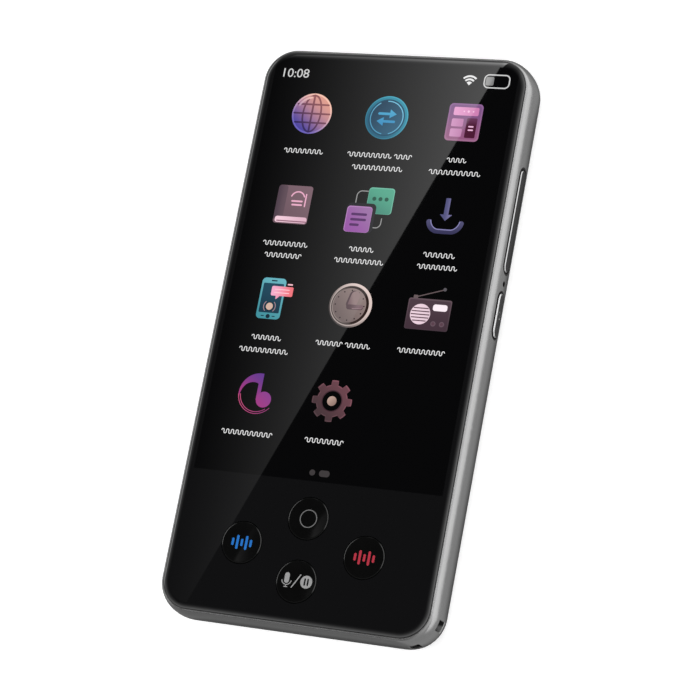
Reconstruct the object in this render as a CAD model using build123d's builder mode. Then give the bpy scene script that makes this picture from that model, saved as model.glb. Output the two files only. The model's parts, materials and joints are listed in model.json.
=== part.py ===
"""Handheld translator: a slim slab with a full glass front, four round front keys, a metal
frame with a power button, a volume rocker and a lanyard loop, and the works inside.

Millimetres. The origin is the middle of the back face, +X to the right of the screen,
+Y to the top of the device and +Z out of the screen.
"""

import os
from math import acos, cos, degrees, hypot, radians, sin

from build123d import *

os.makedirs("parts", exist_ok=True)

# ---------------------------------------------------------------- driving dimensions
# Housing
glass_width = 66.0
glass_length = 136.6
glass_corner_radius = 6.9
glass_thickness = 1.0
body_thickness = 10.6
cover_thickness = 1.1
rim_drop = 0.35              # the rounded rims of glass and cover fall this far
rim_round = 1.5              # and the rounding starts this far in from the outline
frame_bulge = 1.45           # the frame swells this far past the glass outline
frame_gap = 0.2              # gap round the glass and the cover, filled by the seals
frame_ledge = 1.2            # depth of the frame's inner wall behind the glass outline
seal_thickness = 0.15
seal_lip_drop = 0.1          # the seal's visible lip stays this far below the frame's rim
seal_margin = 0.1            # the seal stops this far short of the frame's inner wall
slot_bevel = 0.15            # broken edge round the openings in the frame
quarter_turn = 90.0

# Lanyard loop in the corner of the frame
lanyard_slot_height = 3.2
lanyard_side_slot = (-26.0, -8.0)      # angles round the corner, in degrees
lanyard_end_slot = (-76.0, -60.0)
lanyard_tunnel_depth = 1.95            # metal left in front of the tunnel
lanyard_tunnel_width = 2.4
lanyard_back_wall = 1.2
lanyard_roof = 0.8                     # the loop's block passes the plate's underside by this

# Display and the plate that carries it
display_side_gap = 0.8       # from the frame's inner wall to the display
display_corner_radius = 5.0
display_top_gap = 0.4
display_adhesive = 0.1
cell_thickness = 0.9
backlight_thickness = 0.8
backlight_margin = 0.6
plate_thickness = 0.8
plate_clearance = 0.1
boss_radius = 1.9

# Lugs of the frame and the flat-head screws in them
lug_radius = 1.7
lug_height = 1.6
lug_top_inset = 9.1          # from the frame's inner wall to the upper lugs
lug_bottom_inset = 17.1
lug_bracket_gap = 4.16       # from the button bracket to the lug below it
flat_screw_shank = 0.7
flat_screw_head = 1.25
flat_screw_angle = 90.0
flat_screw_length = 2.0

# Front keys
key_cluster_inset = 16.8     # from the glass's lower edge to the middle of the four keys
key_side_pitch = 15.2        # blue and red keys, left and right of the middle
key_end_pitch = 7.3          # home and pause keys, above and below it
key_radius = 4.9
key_gap = 0.15
key_raise = 0.12
key_dish = 0.15
key_edge_radius = 0.22
key_flange_radius = 5.5
key_flange_thickness = 0.6
key_play = 0.1
key_pocket_gap = 0.2
key_stem_radius = 1.5
key_dome_radius = 2.5
key_flex_thickness = 0.2
key_flex_margin = 1.6
carrier_gap = 0.2
carrier_wall = 0.6           # left above the home key's pocket
carrier_display_gap = 0.6    # room for the display's flat cable
dome_height = 0.4
dome_sheet = 0.1
dome_gap = 0.05

# Side buttons
power_length = 10.6
power_width = 3.3
power_proud = 0.3
power_flange_end = 0.4
power_mic_gap = 2.24         # from the button's end to the middle of the microphone
mark_radius = 0.95
mark_line = 0.2
mark_depth = 0.08
rocker_inset = 37.04         # from the glass's upper edge to the middle of the rocker
rocker_length = 24.8
rocker_width = 3.1
rocker_proud = 0.1
rocker_flange_length = 7.0
rocker_mic_gap = 2.76        # from the rocker's end to the middle of the microphone
rocker_dome_pitch = 16.0
rocker_rib_radius = 0.5
rocker_rib_gap = 0.03
button_gap = 0.15
button_edge_radius = 0.45
button_flange_thickness = 0.7
button_flange_side = 0.6
button_play = 0.1
button_nub_length = 0.4
button_nub_radius = 0.7
side_dome_radius = 1.45
side_flex_thickness = 0.2
bracket_thickness = 0.6
bracket_height = 3.2
bracket_tab = 2.0            # length of the feet at the bracket's two ends
bracket_end_gap = 1.4        # from the buttons to those feet
bracket_screw_shank = 0.5
bracket_screw_head = 0.9
bracket_screw_head_height = 0.5
bracket_screw_bite = 1.2

# Side microphone
mic_port_radius = 0.5
mic_length = 2.6
mic_height = 3.0
mic_thickness = 1.0

# Main board and what is on it
board_length = 39.2
board_top_gap = 0.9          # from the frame's inner wall to the board
board_lug_gap = 0.4
board_thickness = 0.8
board_corner_radius = 1.0
board_screw_inset_x = 8.5
board_screw_inset_y = 3.2
pan_screw_shank = 0.6
pan_screw_head = 1.3
pan_screw_head_height = 0.6
pan_screw_length = 3.0
chip_height = 1.2
connector_height = 0.9
shield_length = 24.0
shield_width = 18.0
shield_height = 1.3
shield_sheet = 0.2
shield_inset_x = 20.0        # from the board's left edge
shield_offset_y = 0.4        # from the board's middle
flex_thickness = 0.15
flex_clearance = 0.25        # round a flat cable where it goes through something
tail_width = 2.4
tail_inset = 0.5             # from the battery's side to the flat tails beside it
tail_edge_gap = 0.1          # from the board's edge to the flat tails
tail_drop_length = 2.2
tail_stand_off = 0.3         # from the display's edge to the flat tails' drop

# USB socket in the top edge
usb_width = 8.94
usb_height = 3.26
usb_length = 7.35
usb_sheet = 0.3
usb_recess = 0.5
usb_gap = 0.1
usb_tongue_width = 6.69
usb_tongue_thickness = 0.7
usb_tongue_setback = 0.9

# Battery
battery_thickness = 4.6
battery_board_gap = 3.0
battery_box_gap = 11.5       # from the loudspeaker's box
battery_edge_radius = 0.8
tape_thickness = 0.15
tape_width = 8.0
battery_lead_width = 6.0

# Rear camera and flash
camera_inset_x = 11.8        # from the frame's inner wall
camera_inset_y = 12.1
camera_body = 8.5
camera_height = 4.4
camera_foam = 0.3
camera_barrel_radius = 3.2
camera_barrel_height = 0.6
camera_board_gap = 0.3
camera_ring_radius = 5.2
camera_ring_height = 1.6
camera_lens_radius = 3.9
camera_lens_thickness = 0.75
camera_lens_recess = 0.05
camera_ring_ledge = 0.6
camera_flex_width = 5.0
flash_pitch = 9.5            # from the camera down to the flash
flash_radius = 2.2
flash_flange = 0.6
flash_flange_height = 0.3
flash_height = 1.8
flash_led_size = 2.0
flash_led_height = 0.8

# Loudspeaker and its box
speaker_x = -12.0
speaker_inset = 14.1         # from the frame's inner wall to the loudspeaker's middle
speaker_length = 15.0
speaker_width = 11.0
speaker_height = 3.0
speaker_corner = 2.0
speaker_cone_depth = 0.5
speaker_rim = 1.3
gasket_thickness = 0.6
mesh_thickness = 0.1
mesh_gap = 0.2
box_length = 23.0
box_width = 15.0
box_wall = 0.8
box_screw_inset = 1.9
grille_hole_radius = 0.55
grille_pitch = 1.7
grille_columns = 6
grille_rows = 3

# Antenna on the inside of the cover
antenna_length = 22.0
antenna_width = 7.0
antenna_arm = 2.5
antenna_inset_x = 14.8       # from the frame's inner wall
antenna_inset_y = 6.1
antenna_thickness = 0.1
spring_sheet = 0.12
spring_width = 1.5
spring_reach = 2.4

# ---------------------------------------------------------------- levels and places
half_width = glass_width / 2
half_length = glass_length / 2
mid_level = body_thickness / 2
glass_bottom = body_thickness - glass_thickness
front_ledge = glass_bottom - seal_thickness
rear_ledge = cover_thickness + seal_thickness
wall_x = half_width - frame_ledge
wall_y = half_length - frame_ledge
frame_face = half_width + frame_bulge
plate_top = glass_bottom - display_adhesive - cell_thickness - backlight_thickness
plate_bottom = plate_top - plate_thickness
flex_top = plate_top + key_flex_thickness
key_cluster_y = key_cluster_inset - half_length
home_pocket_end = key_cluster_y + key_end_pitch + key_flange_radius + key_pocket_gap
carrier_top_y = home_pocket_end + carrier_wall
display_top = wall_y - display_top_gap
display_bottom = carrier_top_y + carrier_display_gap
display_y = (display_top + display_bottom) / 2
display_length = display_top - display_bottom
display_width = 2 * (wall_x - display_side_gap)
board_top = mid_level - usb_height / 2
board_bottom = board_top - board_thickness
board_end = wall_y - board_top_gap
board_start = board_end - board_length
board_y = (board_start + board_end) / 2
board_width = 2 * (wall_x - 2 * lug_radius - board_lug_gap)
shield_x = shield_inset_x - board_width / 2
shield_y = board_y + shield_offset_y
connector_top = board_top + connector_height
battery_top = plate_bottom - tape_thickness
tail_x = board_width / 2 - tail_edge_gap - tail_width / 2
battery_width = 2 * (tail_x - tail_width / 2 - tail_inset)
speaker_y = speaker_inset - wall_y
battery_end = board_start - battery_board_gap
battery_start = speaker_y + box_width / 2 + battery_box_gap
battery_length = battery_end - battery_start
battery_y = (battery_start + battery_end) / 2
rocker_y = half_length - rocker_inset
mic_y = rocker_y - rocker_length / 2 - rocker_mic_gap
power_y = mic_y - power_mic_gap - power_length / 2
flange_outer = wall_x - button_play
flange_inner = flange_outer - button_flange_thickness
nub_end = flange_inner - button_nub_length
side_dome_top = nub_end - dome_gap
side_flex_face = side_dome_top - dome_height
bracket_face = side_flex_face - side_flex_thickness
bracket_back = bracket_face - bracket_thickness
bracket_start = power_y - power_length / 2 - bracket_end_gap - bracket_tab
bracket_stop = rocker_y + rocker_length / 2 + bracket_end_gap + bracket_tab
bracket_length = bracket_stop - bracket_start
bracket_y = (bracket_start + bracket_stop) / 2
tail_slot_y = display_bottom - tail_stand_off
camera_x = wall_x - camera_inset_x
camera_y = wall_y - camera_inset_y
flash_y = camera_y - flash_pitch
antenna_x = antenna_inset_x - wall_x
antenna_y = wall_y - antenna_inset_y

corner_x = half_width - glass_corner_radius
corner_y = half_length - glass_corner_radius
lug_x = wall_x - lug_radius
lug_top = wall_y - lug_top_inset
lug_bottom = lug_bottom_inset - wall_y
lug_places = [
    (-lug_x, lug_top),
    (-lug_x, (lug_top + lug_bottom) / 2),
    (-lug_x, lug_bottom),
    (lug_x, lug_top),
    (lug_x, bracket_start - lug_bracket_gap - lug_radius),
    (lug_x, lug_bottom),
]
board_screw_places = [
    (-board_width / 2 + board_screw_inset_x, board_start + board_screw_inset_y),
    (board_width / 2 - board_screw_inset_x, board_start + board_screw_inset_y),
    (-board_width / 2 + board_screw_inset_y, board_end - board_screw_inset_y),
    (board_width / 2 - board_screw_inset_y, board_end - board_screw_inset_y),
]
box_screw_places = [
    (speaker_x - box_length / 2 + box_screw_inset, speaker_y),
    (speaker_x + box_length / 2 - box_screw_inset, speaker_y),
]
key_places = {
    "home": (0.0, key_cluster_y + key_end_pitch),
    "blue_voice": (-key_side_pitch, key_cluster_y),
    "red_voice": (key_side_pitch, key_cluster_y),
    "mic_pause": (0.0, key_cluster_y - key_end_pitch),
}
rocker_dome_places = {
    "volume_up": rocker_y + rocker_dome_pitch / 2,
    "volume_down": rocker_y - rocker_dome_pitch / 2,
}

ABOVE = (Align.CENTER, Align.CENTER, Align.MIN)
BELOW = (Align.CENTER, Align.CENTER, Align.MAX)


# ---------------------------------------------------------------- shared shapes
def outline_sketch(inset, mode=Mode.ADD):
    """The glass outline, pulled in by inset all round, in the open sketch."""
    RectangleRounded(
        glass_width - 2 * inset,
        glass_length - 2 * inset,
        glass_corner_radius - inset,
        mode=mode,
    )


def outline_path():
    """The glass outline as a closed wire that starts in the middle of the right side."""
    radius = glass_corner_radius
    with BuildLine() as path:
        Line((half_width, 0), (half_width, corner_y))
        JernArc((half_width, corner_y), (0, 1), radius, quarter_turn)
        Line((corner_x, half_length), (-corner_x, half_length))
        JernArc((-corner_x, half_length), (-1, 0), radius, quarter_turn)
        Line((-half_width, corner_y), (-half_width, -corner_y))
        JernArc((-half_width, -corner_y), (0, -1), radius, quarter_turn)
        Line((-corner_x, -half_length), (corner_x, -half_length))
        JernArc((corner_x, -half_length), (1, 0), radius, quarter_turn)
        Line((half_width, -corner_y), (half_width, 0))
    return path.wire()


def corner_sector(inner_radius, outer_radius, angles):
    """Part of a ring round the lanyard corner's centre, in the open sketch."""
    reach = 2 * outer_radius
    turns = (angles[0], (angles[0] + angles[1]) / 2, angles[1])
    wedge = [(0, 0)] + [(reach * cos(radians(a)), reach * sin(radians(a))) for a in turns]
    with Locations((corner_x, -corner_y)):
        Circle(outer_radius)
        Circle(inner_radius, mode=Mode.SUBTRACT)
        Polygon(*wedge, align=None, mode=Mode.INTERSECT)


def outside_glass(edge):
    """Whether an edge's middle lies outside the glass outline, so on the frame's face."""
    middle = edge.center()
    past_x = max(abs(middle.X) - corner_x, 0)
    past_y = max(abs(middle.Y) - corner_y, 0)
    return hypot(past_x, past_y) > glass_corner_radius + frame_gap


def rim_waste(face_level, rim_level):
    """What is taken off outside the quarter ellipse that rounds a rim, in the open sketch."""
    outside = half_width + frame_gap
    start = half_width - rim_round
    past = face_level + (face_level - rim_level)
    with BuildLine() as waste:
        EllipticalCenterArc(
            (start, rim_level),
            rim_round,
            abs(face_level - rim_level),
            start_angle=0 if face_level > rim_level else -quarter_turn,
            arc_size=quarter_turn,
        )
        Polyline(
            (half_width, rim_level),
            (outside, rim_level),
            (outside, past),
            (start, past),
            (start, face_level),
        )
    make_face(waste.edges())


def seal_section(ledge, seat, lip_level):
    """L-shaped section of an edge seal: flat on the ledge, with a lip in the gap."""
    Polygon(
        (wall_x + seal_margin, ledge),
        (half_width + frame_gap, ledge),
        (half_width + frame_gap, lip_level),
        (half_width, lip_level),
        (half_width, seat),
        (wall_x + seal_margin, seat),
        align=None,
    )


def snap_dome(seat, radius):
    """A thin sprung dome standing on the plane seat."""
    section = Plane(origin=seat.origin, x_dir=seat.x_dir, z_dir=-seat.y_dir)
    top = dome_height
    with BuildPart() as dome:
        with BuildSketch(section):
            with BuildLine():
                ThreePointArc((-radius, 0), (0, top), (radius, 0))
                Line((radius, 0), (radius - dome_sheet, 0))
                ThreePointArc((radius - dome_sheet, 0), (0, top - dome_sheet), (dome_sheet - radius, 0))
                Line((dome_sheet - radius, 0), (-radius, 0))
            make_face()
            with Locations((radius, 0)):
                Rectangle(2 * radius, 4 * top, mode=Mode.INTERSECT)
        revolve(axis=Axis(seat.origin, seat.z_dir))
    return dome


def flat_tail(side, head):
    """A flat cable beside the battery: from the front, through the plate, to the board."""
    half = flex_thickness / 2
    run_level = plate_bottom - half
    drop_y = display_bottom - tail_stand_off
    rise_y = board_start - tail_drop_length
    with BuildPart() as tail:
        with BuildSketch(Plane.YZ.offset(side * tail_x - tail_width / 2)):
            with BuildLine() as route:
                Polyline(
                    head,
                    (drop_y, head[1]),
                    (drop_y, run_level),
                    (rise_y, run_level),
                    (rise_y, connector_top + half),
                    (board_start + 2 * tail_drop_length, connector_top + half),
                )
            trace(route.line, flex_thickness)
        extrude(amount=tail_width)
    return tail


# ---------------------------------------------------------------- housing
frame_turn = acos(frame_gap / frame_bulge)
frame_half_height = (mid_level - rim_drop) / sin(frame_turn)
rim_x = half_width + frame_gap
glass_path = outline_path()
loop_front = glass_corner_radius + frame_bulge - lanyard_tunnel_depth
loop_back = loop_front - lanyard_tunnel_width
loop_angles = (lanyard_end_slot[0], lanyard_side_slot[1])

with BuildPart() as metal_frame:
    with BuildSketch(Plane.XZ):
        with BuildLine():
            EllipticalCenterArc(
                (half_width, mid_level),
                frame_bulge,
                frame_half_height,
                start_angle=-degrees(frame_turn),
                arc_size=2 * degrees(frame_turn),
            )
            Polyline(
                (rim_x, body_thickness - rim_drop),
                (rim_x, front_ledge),
                (wall_x, front_ledge),
                (wall_x, rear_ledge),
                (rim_x, rear_ledge),
                (rim_x, rim_drop),
            )
        make_face()
    sweep(path=glass_path)
    # lugs that the plate is screwed to
    with BuildSketch(Plane.XY.offset(plate_bottom)):
        for lug_place in lug_places:
            with Locations(lug_place):
                Circle(lug_radius)
            with Locations((lug_place[0] * (1 + lug_radius / lug_x / 2), lug_place[1])):
                Rectangle(lug_radius, 2 * lug_radius)
    extrude(amount=-lug_height)
    with Locations(*[(x, y, plate_bottom) for x, y in lug_places]):
        Hole(flat_screw_shank, depth=lug_height)
    # block behind the lanyard loop, the tunnel in it and its two mouths
    with BuildSketch(Plane.XY.offset(rear_ledge)):
        corner_sector(loop_back - lanyard_back_wall, glass_corner_radius, (-quarter_turn, 0))
    extrude(amount=plate_bottom + lanyard_roof - rear_ledge)
    with BuildSketch(Plane.XY.offset(mid_level - lanyard_slot_height / 2)):
        corner_sector(loop_back, loop_front, loop_angles)
    extrude(amount=lanyard_slot_height, mode=Mode.SUBTRACT)
    for mouth_angles in (lanyard_side_slot, lanyard_end_slot):
        with BuildSketch(Plane.XY.offset(mid_level - lanyard_slot_height / 2)):
            corner_sector(loop_back, glass_corner_radius + 2 * frame_bulge, mouth_angles)
        extrude(amount=lanyard_slot_height, mode=Mode.SUBTRACT)
        chamfer(metal_frame.edges(Select.LAST).filter_by(outside_glass), slot_bevel)
    # openings of the side buttons and the microphone
    with BuildSketch(Plane.YZ.offset(wall_x)):
        with Locations((power_y, mid_level)):
            SlotOverall(power_length + 2 * button_gap, power_width + 2 * button_gap)
        with Locations((rocker_y, mid_level)):
            SlotOverall(rocker_length + 2 * button_gap, rocker_width + 2 * button_gap)
        with Locations((mic_y, mid_level)):
            Circle(mic_port_radius)
    extrude(amount=2 * frame_ledge + frame_bulge, mode=Mode.SUBTRACT)
    chamfer(metal_frame.edges(Select.LAST).filter_by(outside_glass), slot_bevel)
    # threads for the button bracket
    with BuildSketch(Plane.YZ.offset(wall_x)):
        with Locations(
            (bracket_start + bracket_tab / 2, mid_level),
            (bracket_stop - bracket_tab / 2, mid_level),
        ):
            Circle(bracket_screw_shank)
    extrude(amount=bracket_screw_bite, mode=Mode.SUBTRACT)
    # opening of the USB socket
    with BuildSketch(Plane.XZ.offset(-wall_y)):
        with Locations((0, mid_level)):
            SlotOverall(usb_width + 2 * usb_gap, usb_height + 2 * usb_gap)
    extrude(amount=-(2 * frame_ledge + frame_bulge), mode=Mode.SUBTRACT)
    chamfer(metal_frame.edges(Select.LAST).filter_by(outside_glass), slot_bevel)
metal_frame.part.label = "metal_frame"
export_step(metal_frame.part, "parts/metal_frame.step")

with BuildPart() as front_glass:
    with BuildSketch(Plane.XY.offset(glass_bottom)):
        outline_sketch(0)
        with Locations(*key_places.values()):
            Circle(key_radius + key_gap, mode=Mode.SUBTRACT)
    extrude(amount=glass_thickness)
    with BuildSketch(Plane.XZ):
        rim_waste(body_thickness, body_thickness - rim_drop)
    sweep(path=glass_path, mode=Mode.SUBTRACT)
front_glass.part.label = "front_glass"
export_step(front_glass.part, "parts/front_glass.step")

with BuildPart() as front_seal:
    with BuildSketch(Plane.XZ):
        seal_section(front_ledge, glass_bottom, body_thickness - rim_drop - seal_lip_drop)
    sweep(path=glass_path)
front_seal.part.label = "front_seal"
export_step(front_seal.part, "parts/front_seal.step")

with BuildPart() as rear_cover:
    with BuildSketch():
        outline_sketch(0)
        with Locations((camera_x, camera_y)):
            Circle(camera_ring_radius, mode=Mode.SUBTRACT)
        with Locations((camera_x, flash_y)):
            Circle(flash_radius, mode=Mode.SUBTRACT)
        with Locations((speaker_x, speaker_y)):
            with GridLocations(grille_pitch, grille_pitch, grille_columns, grille_rows):
                Circle(grille_hole_radius, mode=Mode.SUBTRACT)
    extrude(amount=cover_thickness)
    with BuildSketch(Plane.XZ):
        rim_waste(0, rim_drop)
    sweep(path=glass_path, mode=Mode.SUBTRACT)
rear_cover.part.label = "rear_cover"
export_step(rear_cover.part, "parts/rear_cover.step")

with BuildPart() as rear_seal:
    with BuildSketch(Plane.XZ):
        seal_section(rear_ledge, cover_thickness, rim_drop + seal_lip_drop)
    sweep(path=glass_path)
rear_seal.part.label = "rear_seal"
export_step(rear_seal.part, "parts/rear_seal.step")

# ---------------------------------------------------------------- display
with BuildPart() as optical_adhesive:
    with BuildSketch(Plane.XY.offset(glass_bottom)):
        with Locations((0, display_y)):
            RectangleRounded(display_width, display_length, display_corner_radius)
    extrude(amount=-display_adhesive)
optical_adhesive.part.label = "optical_adhesive"
export_step(optical_adhesive.part, "parts/optical_adhesive.step")

with BuildPart() as display_cell:
    with BuildSketch(Plane.XY.offset(glass_bottom - display_adhesive)):
        with Locations((0, display_y)):
            RectangleRounded(display_width, display_length, display_corner_radius)
    extrude(amount=-cell_thickness)
display_cell.part.label = "display_cell"
export_step(display_cell.part, "parts/display_cell.step")

with BuildPart() as display_backlight:
    with BuildSketch(Plane.XY.offset(plate_top)):
        with Locations((0, display_y)):
            RectangleRounded(
                display_width - 2 * backlight_margin,
                display_length - 2 * backlight_margin,
                display_corner_radius - backlight_margin,
            )
    extrude(amount=backlight_thickness)
display_backlight.part.label = "display_backlight"
export_step(display_backlight.part, "parts/display_backlight.step")

display_flex = flat_tail(1, (display_bottom, plate_top + backlight_thickness + cell_thickness / 2))
display_flex.part.label = "display_flex"
export_step(display_flex.part, "parts/display_flex.step")

# ---------------------------------------------------------------- plate between front and back
with BuildPart() as chassis_plate:
    with BuildSketch(Plane.XY.offset(plate_bottom)):
        outline_sketch(frame_ledge + plate_clearance)
        # corner left free for the lanyard loop
        with Locations((corner_x - plate_clearance, plate_clearance - corner_y)):
            Rectangle(
                glass_corner_radius,
                glass_corner_radius,
                align=(Align.MIN, Align.MAX),
                mode=Mode.SUBTRACT,
            )
        # slots for the two flat cables
        with Locations((-tail_x, tail_slot_y), (tail_x, tail_slot_y)):
            Rectangle(
                tail_width + 2 * flex_clearance,
                flex_thickness + 2 * flex_clearance,
                mode=Mode.SUBTRACT,
            )
        # edge cut back behind the side buttons
        with Locations((bracket_back, bracket_y)):
            Rectangle(
                frame_ledge + wall_x - bracket_back,
                bracket_length,
                align=(Align.MIN, Align.CENTER),
                mode=Mode.SUBTRACT,
            )
    extrude(amount=plate_thickness)
    with Locations(*[(x, y, plate_top) for x, y in lug_places]):
        CounterSinkHole(flat_screw_shank, flat_screw_head, counter_sink_angle=flat_screw_angle)
    # bosses that carry the main board
    with Locations(*[(x, y, board_top) for x, y in board_screw_places]):
        Cylinder(boss_radius, plate_bottom - board_top, align=ABOVE)
        Cylinder(pan_screw_shank, pan_screw_length, align=ABOVE, mode=Mode.SUBTRACT)
    with Locations(*[(x, y, plate_bottom) for x, y in box_screw_places]):
        Cylinder(pan_screw_shank, plate_thickness, align=ABOVE, mode=Mode.SUBTRACT)
chassis_plate.part.label = "chassis_plate"
export_step(chassis_plate.part, "parts/chassis_plate.step")

with BuildPart() as chassis_screws:
    with Locations(*[(x, y, plate_top) for x, y in lug_places]):
        Cylinder(flat_screw_shank, flat_screw_length, align=BELOW)
        Cone(
            flat_screw_shank,
            flat_screw_head,
            flat_screw_head - flat_screw_shank,
            align=BELOW,
        )
chassis_screws.part.label = "chassis_screws"
export_step(chassis_screws.part, "parts/chassis_screws.step")

# ---------------------------------------------------------------- front keys
key_top = body_thickness + key_raise
key_flange_top = glass_bottom - key_play
key_flange_bottom = key_flange_top - key_flange_thickness
key_stem_end = flex_top + dome_height + dome_gap
carrier_end_y = carrier_gap - wall_y
carrier_y = (carrier_top_y + carrier_end_y) / 2

for key_name, (key_x, key_y) in key_places.items():
    with BuildPart() as front_key:
        with BuildSketch(Plane((key_x, key_y, 0), x_dir=(1, 0, 0), z_dir=(0, -1, 0))):
            with BuildLine():
                TangentArc((0, key_top - key_dish), (key_radius, key_top), tangent=(1, 0))
                Polyline(
                    (key_radius, key_top),
                    (key_radius, key_flange_top),
                    (key_flange_radius, key_flange_top),
                    (key_flange_radius, key_flange_bottom),
                    (key_stem_radius, key_flange_bottom),
                    (key_stem_radius, key_stem_end),
                    (0, key_stem_end),
                    (0, key_top - key_dish),
                )
            make_face()
        revolve(axis=Axis((key_x, key_y, 0), (0, 0, 1)))
        fillet(front_key.edges().group_by(Axis.Z)[-1], key_edge_radius)
    front_key.part.label = f"{key_name}_key"
    export_step(front_key.part, f"parts/{key_name}_key.step")

    key_dome = snap_dome(Plane((key_x, key_y, flex_top)), key_dome_radius)
    key_dome.part.label = f"{key_name}_dome"
    export_step(key_dome.part, f"parts/{key_name}_dome.step")

with BuildPart() as key_flex:
    with BuildSketch(Plane.XY.offset(plate_top)):
        with Locations((0, carrier_y)):
            RectangleRounded(
                glass_width - 2 * frame_ledge - 2 * key_flex_margin,
                carrier_top_y - carrier_end_y - 2 * key_flex_margin,
                glass_corner_radius - frame_ledge - key_flex_margin,
            )
    extrude(amount=key_flex_thickness)
key_flex.part.label = "key_flex"
export_step(key_flex.part, "parts/key_flex.step")

key_tail = flat_tail(-1, (carrier_top_y - key_flex_margin, plate_top + flex_thickness / 2))
key_tail.part.label = "key_tail"
export_step(key_tail.part, "parts/key_tail.step")

with BuildPart() as key_carrier:
    with BuildSketch(Plane.XY.offset(glass_bottom)):
        outline_sketch(frame_ledge + carrier_gap)
        with Locations((0, carrier_top_y)):
            Rectangle(
                glass_width,
                glass_length,
                align=(Align.CENTER, Align.MIN),
                mode=Mode.SUBTRACT,
            )
        with Locations(*key_places.values()):
            Circle(key_flange_radius + key_pocket_gap, mode=Mode.SUBTRACT)
    extrude(amount=flex_top - glass_bottom)
key_carrier.part.label = "key_carrier"
export_step(key_carrier.part, "parts/key_carrier.step")

# ---------------------------------------------------------------- side buttons
with BuildPart() as power_button:
    with BuildSketch(Plane.YZ.offset(flange_inner)):
        with Locations((power_y, mid_level)):
            SlotOverall(power_length, power_width)
    extrude(amount=frame_face + power_proud - flange_inner)
    fillet(power_button.faces().sort_by(Axis.X)[-1].edges(), button_edge_radius)
    with BuildSketch(Plane.YZ.offset(flange_inner)):
        with Locations((power_y, mid_level)):
            Rectangle(power_length + 2 * power_flange_end, power_width + 2 * button_flange_side)
    extrude(amount=button_flange_thickness)
    with BuildSketch(Plane.YZ.offset(nub_end)):
        with Locations((power_y, mid_level)):
            Circle(button_nub_radius)
    extrude(amount=button_nub_length)
    # engraved power mark: an open ring with a stroke in its gap
    with BuildSketch(Plane.YZ.offset(frame_face + power_proud - mark_depth)):
        with Locations((power_y, mid_level)):
            Circle(mark_radius)
            Circle(mark_radius - mark_line, mode=Mode.SUBTRACT)
            Rectangle(
                mark_radius,
                3 * mark_line,
                align=(Align.MIN, Align.CENTER),
                mode=Mode.SUBTRACT,
            )
            Rectangle(mark_radius, mark_line, align=(Align.MIN, Align.CENTER))
    extrude(amount=mark_depth, mode=Mode.SUBTRACT)
power_button.part.label = "power_button"
export_step(power_button.part, "parts/power_button.step")

rib_level = side_flex_face + rocker_rib_gap + rocker_rib_radius
with BuildPart() as volume_rocker:
    with BuildSketch(Plane.YZ.offset(flange_inner)):
        with Locations((rocker_y, mid_level)):
            SlotOverall(rocker_length, rocker_width)
    extrude(amount=frame_face + rocker_proud - flange_inner)
    fillet(volume_rocker.faces().sort_by(Axis.X)[-1].edges(), button_edge_radius)
    with BuildSketch(Plane.YZ.offset(flange_inner)):
        with Locations((rocker_y, mid_level)):
            Rectangle(rocker_flange_length, rocker_width + 2 * button_flange_side)
    extrude(amount=button_flange_thickness)
    with BuildSketch(Plane.YZ.offset(nub_end)):
        with Locations(*[(y, mid_level) for y in rocker_dome_places.values()]):
            Circle(button_nub_radius)
    extrude(amount=button_nub_length)
    # rounded rib in the middle, which the rocker tips over
    with BuildSketch(Plane.XY.offset(mid_level)):
        with Locations((rib_level, rocker_y)):
            Circle(rocker_rib_radius)
        with Locations((rib_level, rocker_y)):
            Rectangle(
                flange_inner - rib_level,
                2 * rocker_rib_radius,
                align=(Align.MIN, Align.CENTER),
            )
    extrude(amount=rocker_width / 2, both=True)
volume_rocker.part.label = "volume_rocker"
export_step(volume_rocker.part, "parts/volume_rocker.step")

side_seat = Plane((side_flex_face, power_y, mid_level), x_dir=(0, 1, 0), z_dir=(1, 0, 0))
power_dome = snap_dome(side_seat, side_dome_radius)
power_dome.part.label = "power_dome"
export_step(power_dome.part, "parts/power_dome.step")

for dome_name, dome_y in rocker_dome_places.items():
    rocker_seat = Plane((side_flex_face, dome_y, mid_level), x_dir=(0, 1, 0), z_dir=(1, 0, 0))
    rocker_dome = snap_dome(rocker_seat, side_dome_radius)
    rocker_dome.part.label = f"{dome_name}_dome"
    export_step(rocker_dome.part, f"parts/{dome_name}_dome.step")

bracket_tab_places = [
    (bracket_start + bracket_tab / 2, mid_level),
    (bracket_stop - bracket_tab / 2, mid_level),
]
with BuildPart() as side_key_bracket:
    with BuildSketch(Plane.YZ.offset(bracket_back)):
        with Locations((bracket_y, mid_level)):
            Rectangle(bracket_length, bracket_height)
    extrude(amount=bracket_thickness)
    with BuildSketch(Plane.YZ.offset(bracket_face)):
        with Locations(*bracket_tab_places):
            Rectangle(bracket_tab, bracket_height)
    extrude(amount=wall_x - bracket_face)
    with BuildSketch(Plane.YZ.offset(bracket_back)):
        with Locations(*bracket_tab_places):
            Circle(bracket_screw_shank)
    extrude(amount=wall_x - bracket_back, mode=Mode.SUBTRACT)
    # window that lets the flat cable through to the board
    with BuildSketch(Plane.YZ.offset(bracket_back)):
        with Locations((board_y - board_length / 4, connector_top + flex_thickness / 2)):
            Rectangle(tail_width + 2 * flex_clearance, flex_thickness + 2 * flex_clearance)
    extrude(amount=bracket_thickness, mode=Mode.SUBTRACT)
side_key_bracket.part.label = "side_key_bracket"
export_step(side_key_bracket.part, "parts/side_key_bracket.step")

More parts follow.
